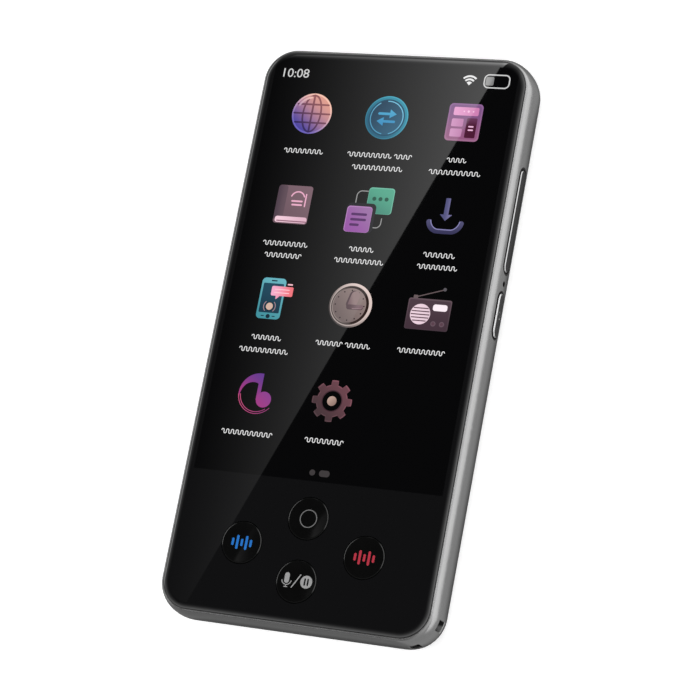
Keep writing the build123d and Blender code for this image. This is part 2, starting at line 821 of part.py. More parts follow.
with BuildPart() as side_key_flex:
    with BuildSketch(Plane.YZ.offset(bracket_face)):
        with Locations((bracket_y, mid_level)):
            Rectangle(bracket_length - 2 * bracket_tab, bracket_height)
    extrude(amount=side_flex_thickness)
    with BuildSketch(Plane.XY.offset(connector_top)):
        with Locations((bracket_face, board_y - board_length / 4)):
            Rectangle(
                bracket_face - board_width / 2 + tail_width,
                tail_width,
                align=(Align.MAX, Align.CENTER),
            )
    extrude(amount=flex_thickness)
side_key_flex.part.label = "side_key_flex"
export_step(side_key_flex.part, "parts/side_key_flex.step")

with BuildPart() as side_key_screws:
    with BuildSketch(Plane.YZ.offset(bracket_back)):
        with Locations(*bracket_tab_places):
            Circle(bracket_screw_shank)
    extrude(amount=wall_x + bracket_screw_bite - bracket_back)
    with BuildSketch(Plane.YZ.offset(bracket_back)):
        with Locations(*bracket_tab_places):
            Circle(bracket_screw_head)
    extrude(amount=-bracket_screw_head_height)
side_key_screws.part.label = "side_key_screws"
export_step(side_key_screws.part, "parts/side_key_screws.step")

with BuildPart() as side_microphone:
    with BuildSketch(Plane.YZ.offset(side_flex_face)):
        with Locations((mic_y, mid_level)):
            Rectangle(mic_length, mic_height)
    extrude(amount=mic_thickness)
side_microphone.part.label = "side_microphone"
export_step(side_microphone.part, "parts/side_microphone.step")

with BuildPart() as mic_boot:
    with BuildSketch(Plane.YZ.offset(side_flex_face + mic_thickness)):
        with Locations((mic_y, mid_level)):
            Rectangle(mic_length, mic_height)
            Circle(mic_port_radius, mode=Mode.SUBTRACT)
    extrude(amount=wall_x - side_flex_face - mic_thickness)
mic_boot.part.label = "mic_boot"
export_step(mic_boot.part, "parts/mic_boot.step")

# ---------------------------------------------------------------- main board
with BuildPart() as main_board:
    with BuildSketch(Plane.XY.offset(board_bottom)):
        with Locations((0, board_y)):
            RectangleRounded(board_width, board_length, board_corner_radius)
        with Locations((camera_x, camera_y)):
            Rectangle(
                camera_body + 2 * camera_board_gap,
                camera_body + 2 * camera_board_gap,
                mode=Mode.SUBTRACT,
            )
        with Locations(*board_screw_places):
            Circle(pan_screw_shank, mode=Mode.SUBTRACT)
    extrude(amount=board_thickness)
main_board.part.label = "main_board"
export_step(main_board.part, "parts/main_board.step")

chips = [
    # from the board's left edge, from its middle, length, width
    (20.0, 0.4, 13.0, 13.0),
    (7.0, 0.4, 9.0, 11.0),
    (33.5, -2.6, 7.0, 7.0),
    (19.0, -11.6, 6.0, 5.0),
    (37.0, -11.6, 5.0, 4.0),
]
with BuildPart() as board_chips:
    for chip_inset, chip_offset, chip_length, chip_width in chips:
        with Locations((chip_inset - board_width / 2, board_y + chip_offset, board_top)):
            Box(chip_length, chip_width, chip_height, align=ABOVE)
board_chips.part.label = "board_chips"
export_step(board_chips.part, "parts/board_chips.step")

battery_socket_y = board_start + tail_drop_length
camera_socket_x = camera_x - camera_body / 2 - camera_board_gap - tail_width
side_socket_y = board_y - board_length / 4
with BuildPart() as board_connectors:
    with Locations((-tail_x, board_start, board_top), (tail_x, board_start, board_top)):
        Box(
            tail_width,
            2 * tail_drop_length,
            connector_height,
            align=(Align.CENTER, Align.MIN, Align.MIN),
        )
    with Locations((0, battery_socket_y, board_top)):
        Box(battery_lead_width, tail_width, connector_height, align=ABOVE)
    with Locations((camera_socket_x, camera_y, board_top)):
        Box(tail_width, camera_flex_width, connector_height, align=ABOVE)
    with Locations((board_width / 2 - tail_width, side_socket_y, board_top)):
        Box(tail_width, tail_width, connector_height, align=(Align.MIN, Align.CENTER, Align.MIN))
board_connectors.part.label = "board_connectors"
export_step(board_connectors.part, "parts/board_connectors.step")

with BuildPart() as shield_can:
    with Locations((shield_x, shield_y, board_bottom)):
        Box(shield_length, shield_width, shield_height, align=BELOW)
        Box(
            shield_length - 2 * shield_sheet,
            shield_width - 2 * shield_sheet,
            shield_height - shield_sheet,
            align=BELOW,
            mode=Mode.SUBTRACT,
        )
shield_can.part.label = "shield_can"
export_step(shield_can.part, "parts/shield_can.step")

with BuildPart() as board_screws:
    with Locations(*[(x, y, board_bottom) for x, y in board_screw_places]):
        Cylinder(pan_screw_head, pan_screw_head_height, align=BELOW)
        Cylinder(pan_screw_shank, pan_screw_length, align=ABOVE)
board_screws.part.label = "board_screws"
export_step(board_screws.part, "parts/board_screws.step")

# ---------------------------------------------------------------- USB socket
usb_mouth_y = half_length + frame_bulge - usb_recess
with BuildPart() as usb_receptacle:
    with BuildSketch(Plane.XZ.offset(-usb_mouth_y)):
        with Locations((0, mid_level)):
            SlotOverall(usb_width, usb_height)
    extrude(amount=usb_length)
    with BuildSketch(Plane.XZ.offset(-usb_mouth_y)):
        with Locations((0, mid_level)):
            SlotOverall(usb_width - 2 * usb_sheet, usb_height - 2 * usb_sheet)
    extrude(amount=usb_length - usb_sheet, mode=Mode.SUBTRACT)
usb_receptacle.part.label = "usb_receptacle"
export_step(usb_receptacle.part, "parts/usb_receptacle.step")

with BuildPart() as usb_tongue:
    with BuildSketch(Plane.XZ.offset(-(usb_mouth_y - usb_tongue_setback))):
        with Locations((0, mid_level)):
            Rectangle(usb_tongue_width, usb_tongue_thickness)
    extrude(amount=usb_length - usb_sheet - usb_tongue_setback)
usb_tongue.part.label = "usb_tongue"
export_step(usb_tongue.part, "parts/usb_tongue.step")

# ---------------------------------------------------------------- battery
with BuildPart() as battery:
    with Locations((0, battery_y, battery_top)):
        Box(battery_width, battery_length, battery_thickness, align=BELOW)
    fillet(battery.edges().filter_by(Axis.Y), battery_edge_radius)
battery.part.label = "battery"
export_step(battery.part, "parts/battery.step")

with BuildPart() as battery_tape:
    with Locations((-tape_width, battery_y, battery_top), (tape_width, battery_y, battery_top)):
        Box(tape_width, battery_length - 2 * tape_width, tape_thickness, align=ABOVE)
battery_tape.part.label = "battery_tape"
export_step(battery_tape.part, "parts/battery_tape.step")

with BuildPart() as battery_lead:
    with BuildSketch(Plane.XY.offset(connector_top)):
        with Locations((0, battery_end)):
            Rectangle(
                battery_lead_width,
                battery_socket_y - battery_end,
                align=(Align.CENTER, Align.MIN),
            )
    extrude(amount=flex_thickness)
battery_lead.part.label = "battery_lead"
export_step(battery_lead.part, "parts/battery_lead.step")

# ---------------------------------------------------------------- camera and flash
camera_back = plate_bottom - camera_foam - camera_height
with BuildPart() as camera_module:
    with Locations((camera_x, camera_y, camera_back)):
        Box(camera_body, camera_body, camera_height, align=ABOVE)
        Cylinder(camera_barrel_radius, camera_barrel_height, align=BELOW)
camera_module.part.label = "camera_module"
export_step(camera_module.part, "parts/camera_module.step")

with BuildPart() as camera_pad:
    with Locations((camera_x, camera_y, plate_bottom)):
        Box(camera_body, camera_body, camera_foam, align=BELOW)
camera_pad.part.label = "camera_pad"
export_step(camera_pad.part, "parts/camera_pad.step")

with BuildPart() as camera_flex:
    with BuildSketch(Plane.XY.offset(connector_top)):
        with Locations((camera_x - camera_body / 2, camera_y)):
            Rectangle(
                camera_x - camera_body / 2 - camera_socket_x,
                camera_flex_width,
                align=(Align.MAX, Align.CENTER),
            )
    extrude(amount=flex_thickness)
camera_flex.part.label = "camera_flex"
export_step(camera_flex.part, "parts/camera_flex.step")

lens_top = camera_lens_recess + camera_lens_thickness
with BuildPart() as camera_ring:
    with BuildSketch():
        with Locations((camera_x, camera_y)):
            Circle(camera_ring_radius)
            Circle(camera_lens_radius, mode=Mode.SUBTRACT)
    extrude(amount=camera_ring_height)
    with BuildSketch(Plane.XY.offset(lens_top)):
        with Locations((camera_x, camera_y)):
            Circle(camera_lens_radius)
            Circle(camera_lens_radius - camera_ring_ledge, mode=Mode.SUBTRACT)
    extrude(amount=camera_ring_height - lens_top)
camera_ring.part.label = "camera_ring"
export_step(camera_ring.part, "parts/camera_ring.step")

with BuildPart() as camera_lens:
    with Locations((camera_x, camera_y, camera_lens_recess)):
        Cylinder(camera_lens_radius, camera_lens_thickness, align=ABOVE)
camera_lens.part.label = "camera_lens"
export_step(camera_lens.part, "parts/camera_lens.step")

with BuildPart() as flash_lens:
    with Locations((camera_x, flash_y)):
        Cylinder(flash_radius, flash_height, align=ABOVE)
    with Locations((camera_x, flash_y, cover_thickness)):
        Cylinder(flash_radius + flash_flange, flash_flange_height, align=ABOVE)
flash_lens.part.label = "flash_lens"
export_step(flash_lens.part, "parts/flash_lens.step")

with BuildPart() as flash_led:
    with Locations((camera_x, flash_y, board_bottom)):
        Box(flash_led_size, flash_led_size, flash_led_height, align=BELOW)
flash_led.part.label = "flash_led"
export_step(flash_led.part, "parts/flash_led.step")

# ---------------------------------------------------------------- loudspeaker
speaker_face = cover_thickness + gasket_thickness
speaker_back = speaker_face + speaker_height
with BuildPart() as loudspeaker:
    with BuildSketch(Plane.XY.offset(speaker_face)):
        with Locations((speaker_x, speaker_y)):
            RectangleRounded(speaker_length, speaker_width, speaker_corner)
    extrude(amount=speaker_height)
    with BuildSketch(Plane.XY.offset(speaker_face)):
        with Locations((speaker_x, speaker_y)):
            SlotOverall(speaker_length - 2 * speaker_rim, speaker_width - 2 * speaker_rim)
    extrude(amount=speaker_cone_depth, mode=Mode.SUBTRACT)
loudspeaker.part.label = "loudspeaker"
export_step(loudspeaker.part, "parts/loudspeaker.step")

with BuildPart() as speaker_gasket:
    with BuildSketch(Plane.XY.offset(cover_thickness)):
        with Locations((speaker_x, speaker_y)):
            RectangleRounded(speaker_length, speaker_width, speaker_corner)
            SlotOverall(
                speaker_length - 2 * speaker_rim,
                speaker_width - 2 * speaker_rim,
                mode=Mode.SUBTRACT,
            )
    extrude(amount=gasket_thickness)
speaker_gasket.part.label = "speaker_gasket"
export_step(speaker_gasket.part, "parts/speaker_gasket.step")

with BuildPart() as speaker_mesh:
    with BuildSketch(Plane.XY.offset(cover_thickness)):
        with Locations((speaker_x, speaker_y)):
            SlotOverall(
                speaker_length - 2 * speaker_rim - 2 * mesh_gap,
                speaker_width - 2 * speaker_rim - 2 * mesh_gap,
            )
    extrude(amount=mesh_thickness)
speaker_mesh.part.label = "speaker_mesh"
export_step(speaker_mesh.part, "parts/speaker_mesh.step")

with BuildPart() as speaker_box:
    with BuildSketch(Plane.XY.offset(speaker_face)):
        with Locations((speaker_x, speaker_y)):
            RectangleRounded(box_length, box_width, speaker_corner)
    extrude(amount=plate_bottom - speaker_face)
    with BuildSketch(Plane.XY.offset(speaker_face)):
        with Locations((speaker_x, speaker_y)):
            RectangleRounded(speaker_length, speaker_width, speaker_corner)
    extrude(amount=speaker_height, mode=Mode.SUBTRACT)
    # air chamber behind the loudspeaker, a little smaller than its seat
    with BuildSketch(Plane.XY.offset(speaker_back)):
        with Locations((speaker_x, speaker_y)):
            RectangleRounded(
                speaker_length - 2 * box_wall,
                speaker_width - 2 * box_wall,
                speaker_corner - box_wall,
            )
    extrude(amount=plate_bottom - box_wall - speaker_back, mode=Mode.SUBTRACT)
    with Locations(*[(x, y, speaker_face) for x, y in box_screw_places]):
        Cylinder(pan_screw_shank, plate_bottom - speaker_face, align=ABOVE, mode=Mode.SUBTRACT)
        Cylinder(pan_screw_head, pan_screw_head_height, align=ABOVE, mode=Mode.SUBTRACT)
speaker_box.part.label = "speaker_box"
export_step(speaker_box.part, "parts/speaker_box.step")

with BuildPart() as speaker_screws:
    with Locations(*[(x, y, speaker_face) for x, y in box_screw_places]):
        Cylinder(pan_screw_head, pan_screw_head_height, align=ABOVE)
        Cylinder(pan_screw_shank, plate_top - speaker_face, align=ABOVE)
speaker_screws.part.label = "speaker_screws"
export_step(speaker_screws.part, "parts/speaker_screws.step")

# ---------------------------------------------------------------- antenna
with BuildPart() as wifi_antenna:
    with BuildSketch(Plane.XY.offset(cover_thickness)):
        with Locations((antenna_x, antenna_y)):
            Rectangle(antenna_length, antenna_width)
        with Locations((antenna_x + antenna_arm, antenna_y + antenna_arm / 2)):
            Rectangle(
                antenna_length - antenna_arm,
                antenna_width - antenna_arm,
                mode=Mode.SUBTRACT,
            )
    extrude(amount=antenna_thickness)
wifi_antenna.part.label = "wifi_antenna"
export_step(wifi_antenna.part, "parts/wifi_antenna.step")

antenna_top = cover_thickness + antenna_thickness
spring_foot_x = antenna_x - antenna_length / 2 + antenna_arm / 2
with BuildPart() as antenna_spring:
    with BuildSketch(Plane.XZ.offset(-(antenna_y - spring_width / 2))):
        with BuildLine() as spring_line:
            Polyline(
                (spring_foot_x - spring_sheet, antenna_top + spring_sheet / 2),
                (spring_foot_x + spring_sheet, antenna_top + spring_sheet / 2),
                (spring_foot_x + spring_reach, board_bottom - spring_sheet / 2),
                (spring_foot_x + 2 * spring_sheet, board_bottom - spring_sheet / 2),
            )
        trace(spring_line.line, spring_sheet)
    extrude(amount=-spring_width)
antenna_spring.part.label = "antenna_spring"
export_step(antenna_spring.part, "parts/antenna_spring.step")
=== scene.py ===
"""Handheld translator: finishes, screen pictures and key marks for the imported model, and its studio.

Lengths are in millimetres and are turned into metres where a mesh, a lamp or the camera is made.
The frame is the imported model's: the origin in the middle of the back, +X to the right of the
screen, +Y to the top end and +Z out of the screen.
"""

import json
from functools import partialmethod
from math import cos, radians, sin, sqrt

import bmesh
import bpy
import numpy as np
from mathutils import Matrix, Vector


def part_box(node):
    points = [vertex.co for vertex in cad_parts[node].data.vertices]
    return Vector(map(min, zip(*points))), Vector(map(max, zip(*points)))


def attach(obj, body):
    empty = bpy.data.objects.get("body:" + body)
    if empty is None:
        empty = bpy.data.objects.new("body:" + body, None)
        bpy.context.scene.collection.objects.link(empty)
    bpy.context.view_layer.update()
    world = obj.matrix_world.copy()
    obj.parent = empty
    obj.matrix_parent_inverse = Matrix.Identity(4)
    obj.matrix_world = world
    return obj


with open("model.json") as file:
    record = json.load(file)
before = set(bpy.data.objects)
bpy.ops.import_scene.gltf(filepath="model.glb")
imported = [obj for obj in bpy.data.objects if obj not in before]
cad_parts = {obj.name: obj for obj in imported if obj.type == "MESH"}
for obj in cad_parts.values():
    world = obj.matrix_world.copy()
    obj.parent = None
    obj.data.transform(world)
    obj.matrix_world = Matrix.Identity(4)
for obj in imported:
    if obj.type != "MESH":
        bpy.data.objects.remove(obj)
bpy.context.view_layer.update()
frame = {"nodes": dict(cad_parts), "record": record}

MM = 0.001
TURN = 360.0


def spread(node):
    """Lowest and highest corner of a node, in millimetres."""
    low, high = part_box(node)
    return np.array(low) / MM, np.array(high) / MM


# ---------------- sizes and places
body_low, body_high = spread("metal_frame")
cell_low, cell_high = spread("display_cell")
glass_high = spread("front_glass")[1]

glass_top = glass_high[2]
cell_border = 1.8  # print under the glass hides this much of the display's foot
glass_corner = 6.9  # radius of the glass's corners in plan
rim_round = 1.5  # its rim is rounded over this width
rim_drop = 0.35  # and falls this far
lift = 0.012  # a picture or mark starts this far above its ground
layer = 0.006  # and each further one this far above the last
shape_depth = 0.03  # a shape's own thickness, most of it in the ground

# The keys stand proud of the glass, and an arc of this depth and half width hollows their tops
key_names = ("home_key", "blue_voice_key", "red_voice_key", "mic_pause_key")
key_stand = 0.12
key_dish = 0.15
key_dish_radius = 4.9

# The openings in the frame's right side: y and z of the middle, length and width, with the band of
# painted shade round each included
side_start = (31.0, 31.2)  # past this x the frame is its right side
side_openings = ((31.26, 5.3, 26.2, 4.5), (8.56, 5.3, 11.7, 4.4), (16.1, 5.3, 1.36, 1.36))
cut_start = 0.02  # a button's bright cut starts this far below its face

# The lanyard loop's right mouth, round the centre of the lower right corner
loop_centre = (26.1, -61.4)
loop_reach = 8.2  # its walls end at this radius
loop_low = -66.0  # and stay above this y
# the darkening of the mouth's wall is painted shade
loop_shade = (-63.7, -63.1)  # between these its milled wall gets darker upwards
loop_middle, loop_half_height = 5.3, 1.6


# ---------------- colours
def tone(*values):
    """A colour as linear light, from its display values for red, green and blue, 0 to 255, or a
    neutral one from one value."""
    share = np.array(values * (3 // len(values))) / 255
    low = share / 12.92
    high = ((share + 0.055) / 1.055) ** 2.4
    return (*np.where(share <= 0.04045, low, high).tolist(), 1.0)


BLACK = (0.0, 0.0, 0.0, 1.0)
WHITE = (1.0, 1.0, 1.0, 1.0)
FRAME_METAL = (tone(164), tone(182))
BUTTON_METAL = (tone(50), tone(60))


# ---------------- shader maths
class Signal:
    """A node's output with Python's arithmetic on it: each operator adds one Math node."""

    def __init__(self, finish, socket):
        self.finish = finish
        self.socket = socket

    def maths(self, operation, *others):
        """One Math node with this signal first."""
        return self.finish.node("Math", dict(enumerate((self, *others))), operation=operation)

    __add__ = __radd__ = partialmethod(maths, "ADD")
    __mul__ = __rmul__ = partialmethod(maths, "MULTIPLY")
    __sub__ = partialmethod(maths, "SUBTRACT")
    __truediv__ = partialmethod(maths, "DIVIDE")
    __pow__ = partialmethod(maths, "POWER")
    __mod__ = partialmethod(maths, "FLOORED_MODULO")
    __abs__ = partialmethod(maths, "ABSOLUTE")
    least = partialmethod(maths, "MINIMUM")
    most = partialmethod(maths, "MAXIMUM")
    sine = partialmethod(maths, "SINE")

    def __rsub__(self, other):
        return self * -1.0 + other

    def ripple(self, pace):
        """A sine wave from 0 to 1 along this signal, which turns by pace radians for each unit."""
        return (self * pace).sine() * 0.5 + 0.5

    def rises(self, low, high):
        """0 at low, 1 at high and a smooth step between them, which also runs downwards."""
        steps = {0: self, 1: low, 2: high}
        return self.finish.node("MapRange", steps, interpolation_type="SMOOTHSTEP")


class Finish:
    """The node tree of a material or of the world, and the few kinds of node it is written with."""

    def __init__(self, owner):
        self.owner = owner
        owner.use_nodes = True
        self.tree = owner.node_tree
        self.tree.nodes.clear()

    def node(self, kind, inputs=None, output=0, **settings):
        """Adds one node: its settings first, then each socket's value or link."""
        made = self.tree.nodes.new("ShaderNode" + kind)
        for name, value in settings.items():
            setattr(made, name, value)
        for name, value in (inputs or {}).items():
            if isinstance(value, Signal):
                self.tree.links.new(value.socket, made.inputs[name])
            else:
                made.inputs[name].default_value = value
        return Signal(self, made.outputs[output])

    def at(self):
        """The point on the piece, in metres in the shared frame."""
        return self.node("TexCoord", output="Object")

    def parts(self, vector):
        """A vector's x, y and z, as three signals."""
        made = self.node("SeparateXYZ", {0: vector}).socket.node
        return [Signal(self, made.outputs[axis]) for axis in "XYZ"]

    def places(self):
        """The point's x, y and z in millimetres, as three signals."""
        return [part * (1 / MM) for part in self.parts(self.at())]

    def mix(self, share, first, second):
        """Colour first where share is 0 and second where it is 1."""
        return self.node("Mix", {0: share, 6: first, 7: second}, output=2, data_type="RGBA")

    def noise(self, grain, detail=2.0, where=None):
        """Soft noise from 0 to 1 whose features are grain millimetres wide."""
        inputs = {"Vector": where or self.at(), "Scale": 1 / (grain * MM), "Detail": detail}
        return self.node("TexNoise", inputs)

    def cells(self, grain, feature="F1"):
        """Distance to the nearest of random points that stand grain millimetres apart."""
        inputs = {"Vector": self.at(), "Scale": 1 / (grain * MM)}
        return self.node("TexVoronoi", inputs, output="Distance", feature=feature)

    def bump(self, height, depth, strength=1.0, normal=None):
        """A normal that shows height (0 to 1) as relief, depth millimetres deep."""
        inputs = {"Strength": strength, "Distance": depth * MM, "Height": height}
        if normal:
            inputs["Normal"] = normal
        return self.node("Bump", inputs)

    def ends(self, shader, kind="OutputMaterial"):
        """Ends the tree with this shader and returns what the tree belongs to."""
        made = self.tree.nodes.new("ShaderNode" + kind)
        self.tree.links.new(shader.socket, made.inputs["Surface"])
        return self.owner

    def principled(self, inputs):
        """Ends the tree with the one shader that every finish uses."""
        return self.ends(self.node("BsdfPrincipled", inputs))


def new_finish(name):
    """The Finish of a new material."""
    return Finish(bpy.data.materials.new(name))


def span(across, along):
    """The length of a vector with these two parts."""
    return (across * across + along * along) ** 0.5


def past_sides(x, y, low, high, inset=0.0):
    """How far the point is past the sides of a rectangle that is drawn in by inset all round."""
    return [
        abs(place - (low[axis] + high[axis]) / 2) - ((high[axis] - low[axis]) / 2 - inset)
        for axis, place in enumerate((x, y))
    ]


def box_mask(x, y, low, high, soft=0.1):
    """1 inside the rectangle from low to high and 0 outside it."""
    across, along = past_sides(x, y, low, high)
    return across.most(along).rises(soft, -soft)


def rounded_mask(x, y, low, high, corner, soft):
    """1 inside a rectangle with round corners and 0 outside it."""
    across, along = past_sides(x, y, low, high, corner)
    return span(across.most(0.0), along.most(0.0)).rises(corner + soft, corner - soft)


def slot_mask(y, z, slot, soft=0.03):
    """1 inside a slot with round ends that lies along y and 0 outside it."""
    middle_y, middle_z, length, width = slot
    along = (abs(y - middle_y) - (length - width) / 2).most(0.0)
    return span(along, z - middle_z).rises(width / 2 + soft, width / 2 - soft)


# ---------------- finishes that show
def blasted_metal(name, shades, roughness, marked=None):
    """Bead-blasted and anodised aluminium: a fine grain between two shades, in gloss and in relief.

    marked changes its colour, and how far it is a metal, in places."""
    made = new_finish(name)
    grain = made.noise(0.12, detail=3.0)
    cloud = made.noise(9.0)
    colour, metallic = made.mix(grain * 0.7 + cloud * 0.3, *shades), 1.0
    if marked:
        colour, metallic = marked(made, colour)
    return made.principled({
        "Base Color": colour,
        "Metallic": metallic,
        "Roughness": grain * 0.06 + cloud * 0.03 + roughness,
        "Normal": made.bump(grain, 0.004, 0.5),
    })


def frame_openings(made, colour):
    """Painted shade in the right side's openings: their walls and rims are painted almost black.
    The lanyard loop's right mouth has rough milled walls: painted light below, painted shade above."""
    x, y, z = made.places()
    inside = 0.0
    for slot in side_openings:
        inside = slot_mask(y, z, slot) + inside
    # Painted shade: the openings' walls and a thin band round them are painted almost black
    colour = made.mix(inside.least(1.0) * x.rises(*side_start), colour, tone(9))
    across, along = x - loop_centre[0], y - loop_centre[1]
    milled = span(across, along).rises(loop_reach + 0.03, loop_reach - 0.03)
    milled = milled * across.rises(0.0, 0.1) * y.rises(loop_low - 0.1, loop_low + 0.1)
    beside = abs(z - loop_middle).rises(loop_half_height + 0.06, loop_half_height + 0.02)
    milled = milled * along.rises(0.0, -0.1) * beside
    # Painted light and shade on the mouth's wall: light grey below, almost black above
    wall = made.mix(y.rises(*loop_shade), tone(126), tone(38))
    return made.mix(milled, colour, wall), 1.0 - milled


def cut_button(node, cut_end):
    """A dark anodised face inside a bright cut edge, which ends this far below the face; past it the
    metal is painted almost black, a painted shade in the gap round the button."""
    face = spread(node)[1][0]

    def cut(made, colour):
        x = made.places()[0]
        colour = made.mix(x.rises(face - cut_start, face - cut_start - 0.03), colour, tone(214))
        # Painted shade: past cut_end the metal is painted almost black, as the gap lies in shadow
        return made.mix(x.rises(face - cut_end, face - cut_end - 0.05), colour, tone(16)), 1.0

    return blasted_metal(node + "_metal", BUTTON_METAL, 0.22, cut)


def rim_normal(made, x, y, z):
    """The glass's normal: on its rim that of a quarter ellipse, swept along an outline of straight
    sides and round corners, and elsewhere the mesh's own. It keeps the rim's reflections even."""
    past_x = (abs(x) - (glass_high[0] - glass_corner)).most(0.0)
    past_y = (abs(y) - (glass_high[1] - glass_corner)).most(0.0)
    away = span(past_x, past_y)
    start = glass_corner - rim_round
    lean = ((away - start) * (1 / rim_round)).most(0.0).least(0.999)
    upright = (1.0 - lean * lean) ** 0.5
    tilt = lean * (rim_drop / rim_round)
    length = span(tilt, upright)
    sideways = tilt / (length * away.most(0.1))
    rounded = made.node("CombineXYZ", {
        "X": past_x * sideways * (x.rises(-0.1, 0.1) * 2.0 - 1.0),
        "Y": past_y * sideways * (y.rises(-0.1, 0.1) * 2.0 - 1.0),
        "Z": upright / length,
    })
    own = made.node("NewGeometry", output="Normal")
    rim_foot = glass_top - rim_drop
    on_rim = away.rises(start, start + 0.02) * z.rises(rim_foot - 0.002, rim_foot)
    return made.node("Mix", {0: on_rim, 4: own, 5: rounded}, output=1, data_type="VECTOR")


def black_glass():
    """Polished glass over black print: deepest over the display's window, faintly wiped."""
    made = new_finish("black_glass")
    x, y, z = made.places()
    window_low = (cell_low[0], cell_low[1] + cell_border)
    window = box_mask(x, y, window_low, cell_high, soft=0.12)
    return made.principled({
        "Base Color": made.mix(window, tone(19, 19, 20), tone(9, 9, 10)),
        "Roughness": made.noise(26.0, detail=3.0) * 0.006 + 0.008,
        "IOR": 1.5,
        "Coat Weight": 0.0,
        "Normal": made.bump(made.noise(30.0), 0.002, 0.2, rim_normal(made, x, y, z)),
    })


def rubber():
    """Black sealing rubber, matt and slightly mottled."""
    made = new_finish("black_rubber")
    skin = made.noise(0.25, detail=3.0)
    return made.principled({
        "Base Color": made.mix(skin, tone(94), tone(112)),
        "Roughness": skin * 0.15 + 0.7,
        "Specular IOR Level": 0.15,
        "Normal": made.bump(skin, 0.01, 0.4),
    })


def cover_plastic():
    """Dark moulded plastic with a fine eroded texture, a little smoother towards the rim."""
    made = new_finish("textured_cover_plastic")
    pits = made.cells(0.22)
    grain = made.noise(0.1, detail=3.0)
    cloud = made.noise(14.0)
    flat = made.places()[2].rises(0.3, 0.05)
    return made.principled({
        "Base Color": made.mix(cloud * 0.3 + grain.rises(0.3, 0.7) * 0.7, tone(42), tone(66)),
        "Roughness": grain * 0.1 + cloud * 0.05 + 0.4 + flat * 0.06,
        "Normal": made.bump(pits * 0.6 + grain * 0.4, 0.03, 0.7),
    })


def key_plastic(key):
    """A black key cap under a gloss lacquer, which is worn off the top and the bottom of its rim."""
    worn_edge = (4.45, 4.65)
    made = new_finish(key + "_plastic")
    x, y, z = made.places()
    middle = sum(spread(key)) / 2
    across, along = x - middle[0], y - middle[1]
    away = span(across, along)
    upward = (along + across * 0.1) / away.most(1.0)
    worn = away.rises(*worn_edge) * (upward.rises(0.75, 0.9) + upward.rises(-0.2, -0.4))
    wiped = made.noise(4.0)
    return made.principled({
        "Base Color": made.mix(wiped, tone(10), tone(15)),
        "Roughness": wiped * 0.1 + 0.5,
        "Specular IOR Level": 0.0,
        "Coat Weight": 1.0 - worn * 0.9,
        "Coat Roughness": 0.06,
        "Normal": made.bump(made.noise(1.4, detail=1.0), 0.002, 0.25),
    })


def lens_glass():
    """Camera glass: black print, a bright thin ring, the barrel's fine grooves, and a dark blue
    element with a painted violet reflection in the middle. Where they start and end are parts of its
    radius."""
    barrel, black_print = (0.4, 0.43), (0.7, 0.72)
    ring_start, ring_end = (0.76, 0.78), (0.83, 0.81)
    made = new_finish("coated_lens_glass")
    x, y, z = made.places()
    low, high = spread("camera_lens")
    middle, radius = (low + high) / 2, (high[0] - low[0]) / 2
    across, along = x - middle[0], y - middle[1]
    part = span(across, along) * (1 / radius)
    grooves = part.ripple(110.0)
    # Painted reflection: a violet highlight a little up and right of the middle of the element
    painted_reflection = span(across - 0.2 * radius, along - 0.18 * radius) * (1 / radius)
    element = made.mix(part.rises(0.42, 0.0), tone(12, 20, 52), tone(30, 16, 58))
    element = made.mix(painted_reflection.rises(0.2, 0.04), element, tone(132, 96, 176))
    colour = made.mix(part.rises(*barrel), element, made.mix(grooves, tone(10), tone(52)))
    colour = made.mix(part.rises(*black_print), colour, tone(6))
    colour = made.mix(part.rises(*ring_start) * part.rises(*ring_end), colour, tone(150))
    return made.principled({
        "Base Color": colour,
        "Roughness": made.noise(2.2) * 0.02 + 0.02,
        "IOR": 1.5,
        "Coat Weight": 0.3,
        "Coat Roughness": 0.02,
        "Coat Tint": tone(205, 190, 255),
    })


def flash_diffuser():
    """Milky flash window with fine concentric rings and the yellow lamp showing in the middle."""
    made = new_finish("flash_diffuser")
    x, y, z = made.places()
    middle = sum(spread("flash_lens")) / 2
    rings = span(x - middle[0], y - middle[1]).ripple(26.0)
    lamp_half = 0.9
    lamp = box_mask(x, y, middle - lamp_half, middle + lamp_half, soft=0.25)
    colour = made.mix(lamp, tone(226, 224, 214), tone(236, 205, 96))
    return made.principled({
        "Base Color": made.mix(rings * 0.35, colour, tone(150, 148, 138)),
        "Roughness": made.noise(0.6) * 0.08 + 0.14,
        "IOR": 1.49,
        "Normal": made.bump(rings, 0.03, 0.8),
    })


def woven_mesh():
    """Fine steel cloth behind the loudspeaker's holes: wires over and under each other."""
    made = new_finish("woven_speaker_mesh")
    x, y, z = made.places()
    wires = abs((x * 42.0).sine()).most(abs((y * 42.0).sine()))
    return made.principled({
        "Base Color": made.mix(wires.rises(0.55, 0.9), tone(18), tone(96)),
        "Metallic": 1.0,
        "Roughness": made.noise(0.3) * 0.1 + 0.38,
        "Normal": made.bump(wires, 0.03, 0.8),
    })


def contact_tongue():
    """Black moulded tongue of the socket with two rows of gilt contacts."""
    made = new_finish("socket_tongue")
    x, y, z = made.places()
    front = spread("usb_tongue")[1][1]
    pitch, pad_half, row_half = 0.5, 0.13, 2.96
    pad_back, pad_front = front - 4.1, front - 0.6
    across = abs((x + pitch * 20) % pitch - pitch / 2)
    pads = across.rises(pad_half + 0.02, pad_half - 0.02) * y.rises(pad_back - 0.1, pad_back + 0.1)
    pads = pads * y.rises(pad_front + 0.1, pad_front - 0.1)
    pads = pads * abs(x).rises(row_half + 0.02, row_half - 0.02)
    return made.principled({
        "Base Color": made.mix(pads, tone(20), tone(214, 170, 92)),
        "Metallic": pads,
        "Roughness": made.noise(0.4) * 0.1 + 0.3 - pads * 0.05,
        "Normal": made.bump(pads, 0.03, 0.5),
    })


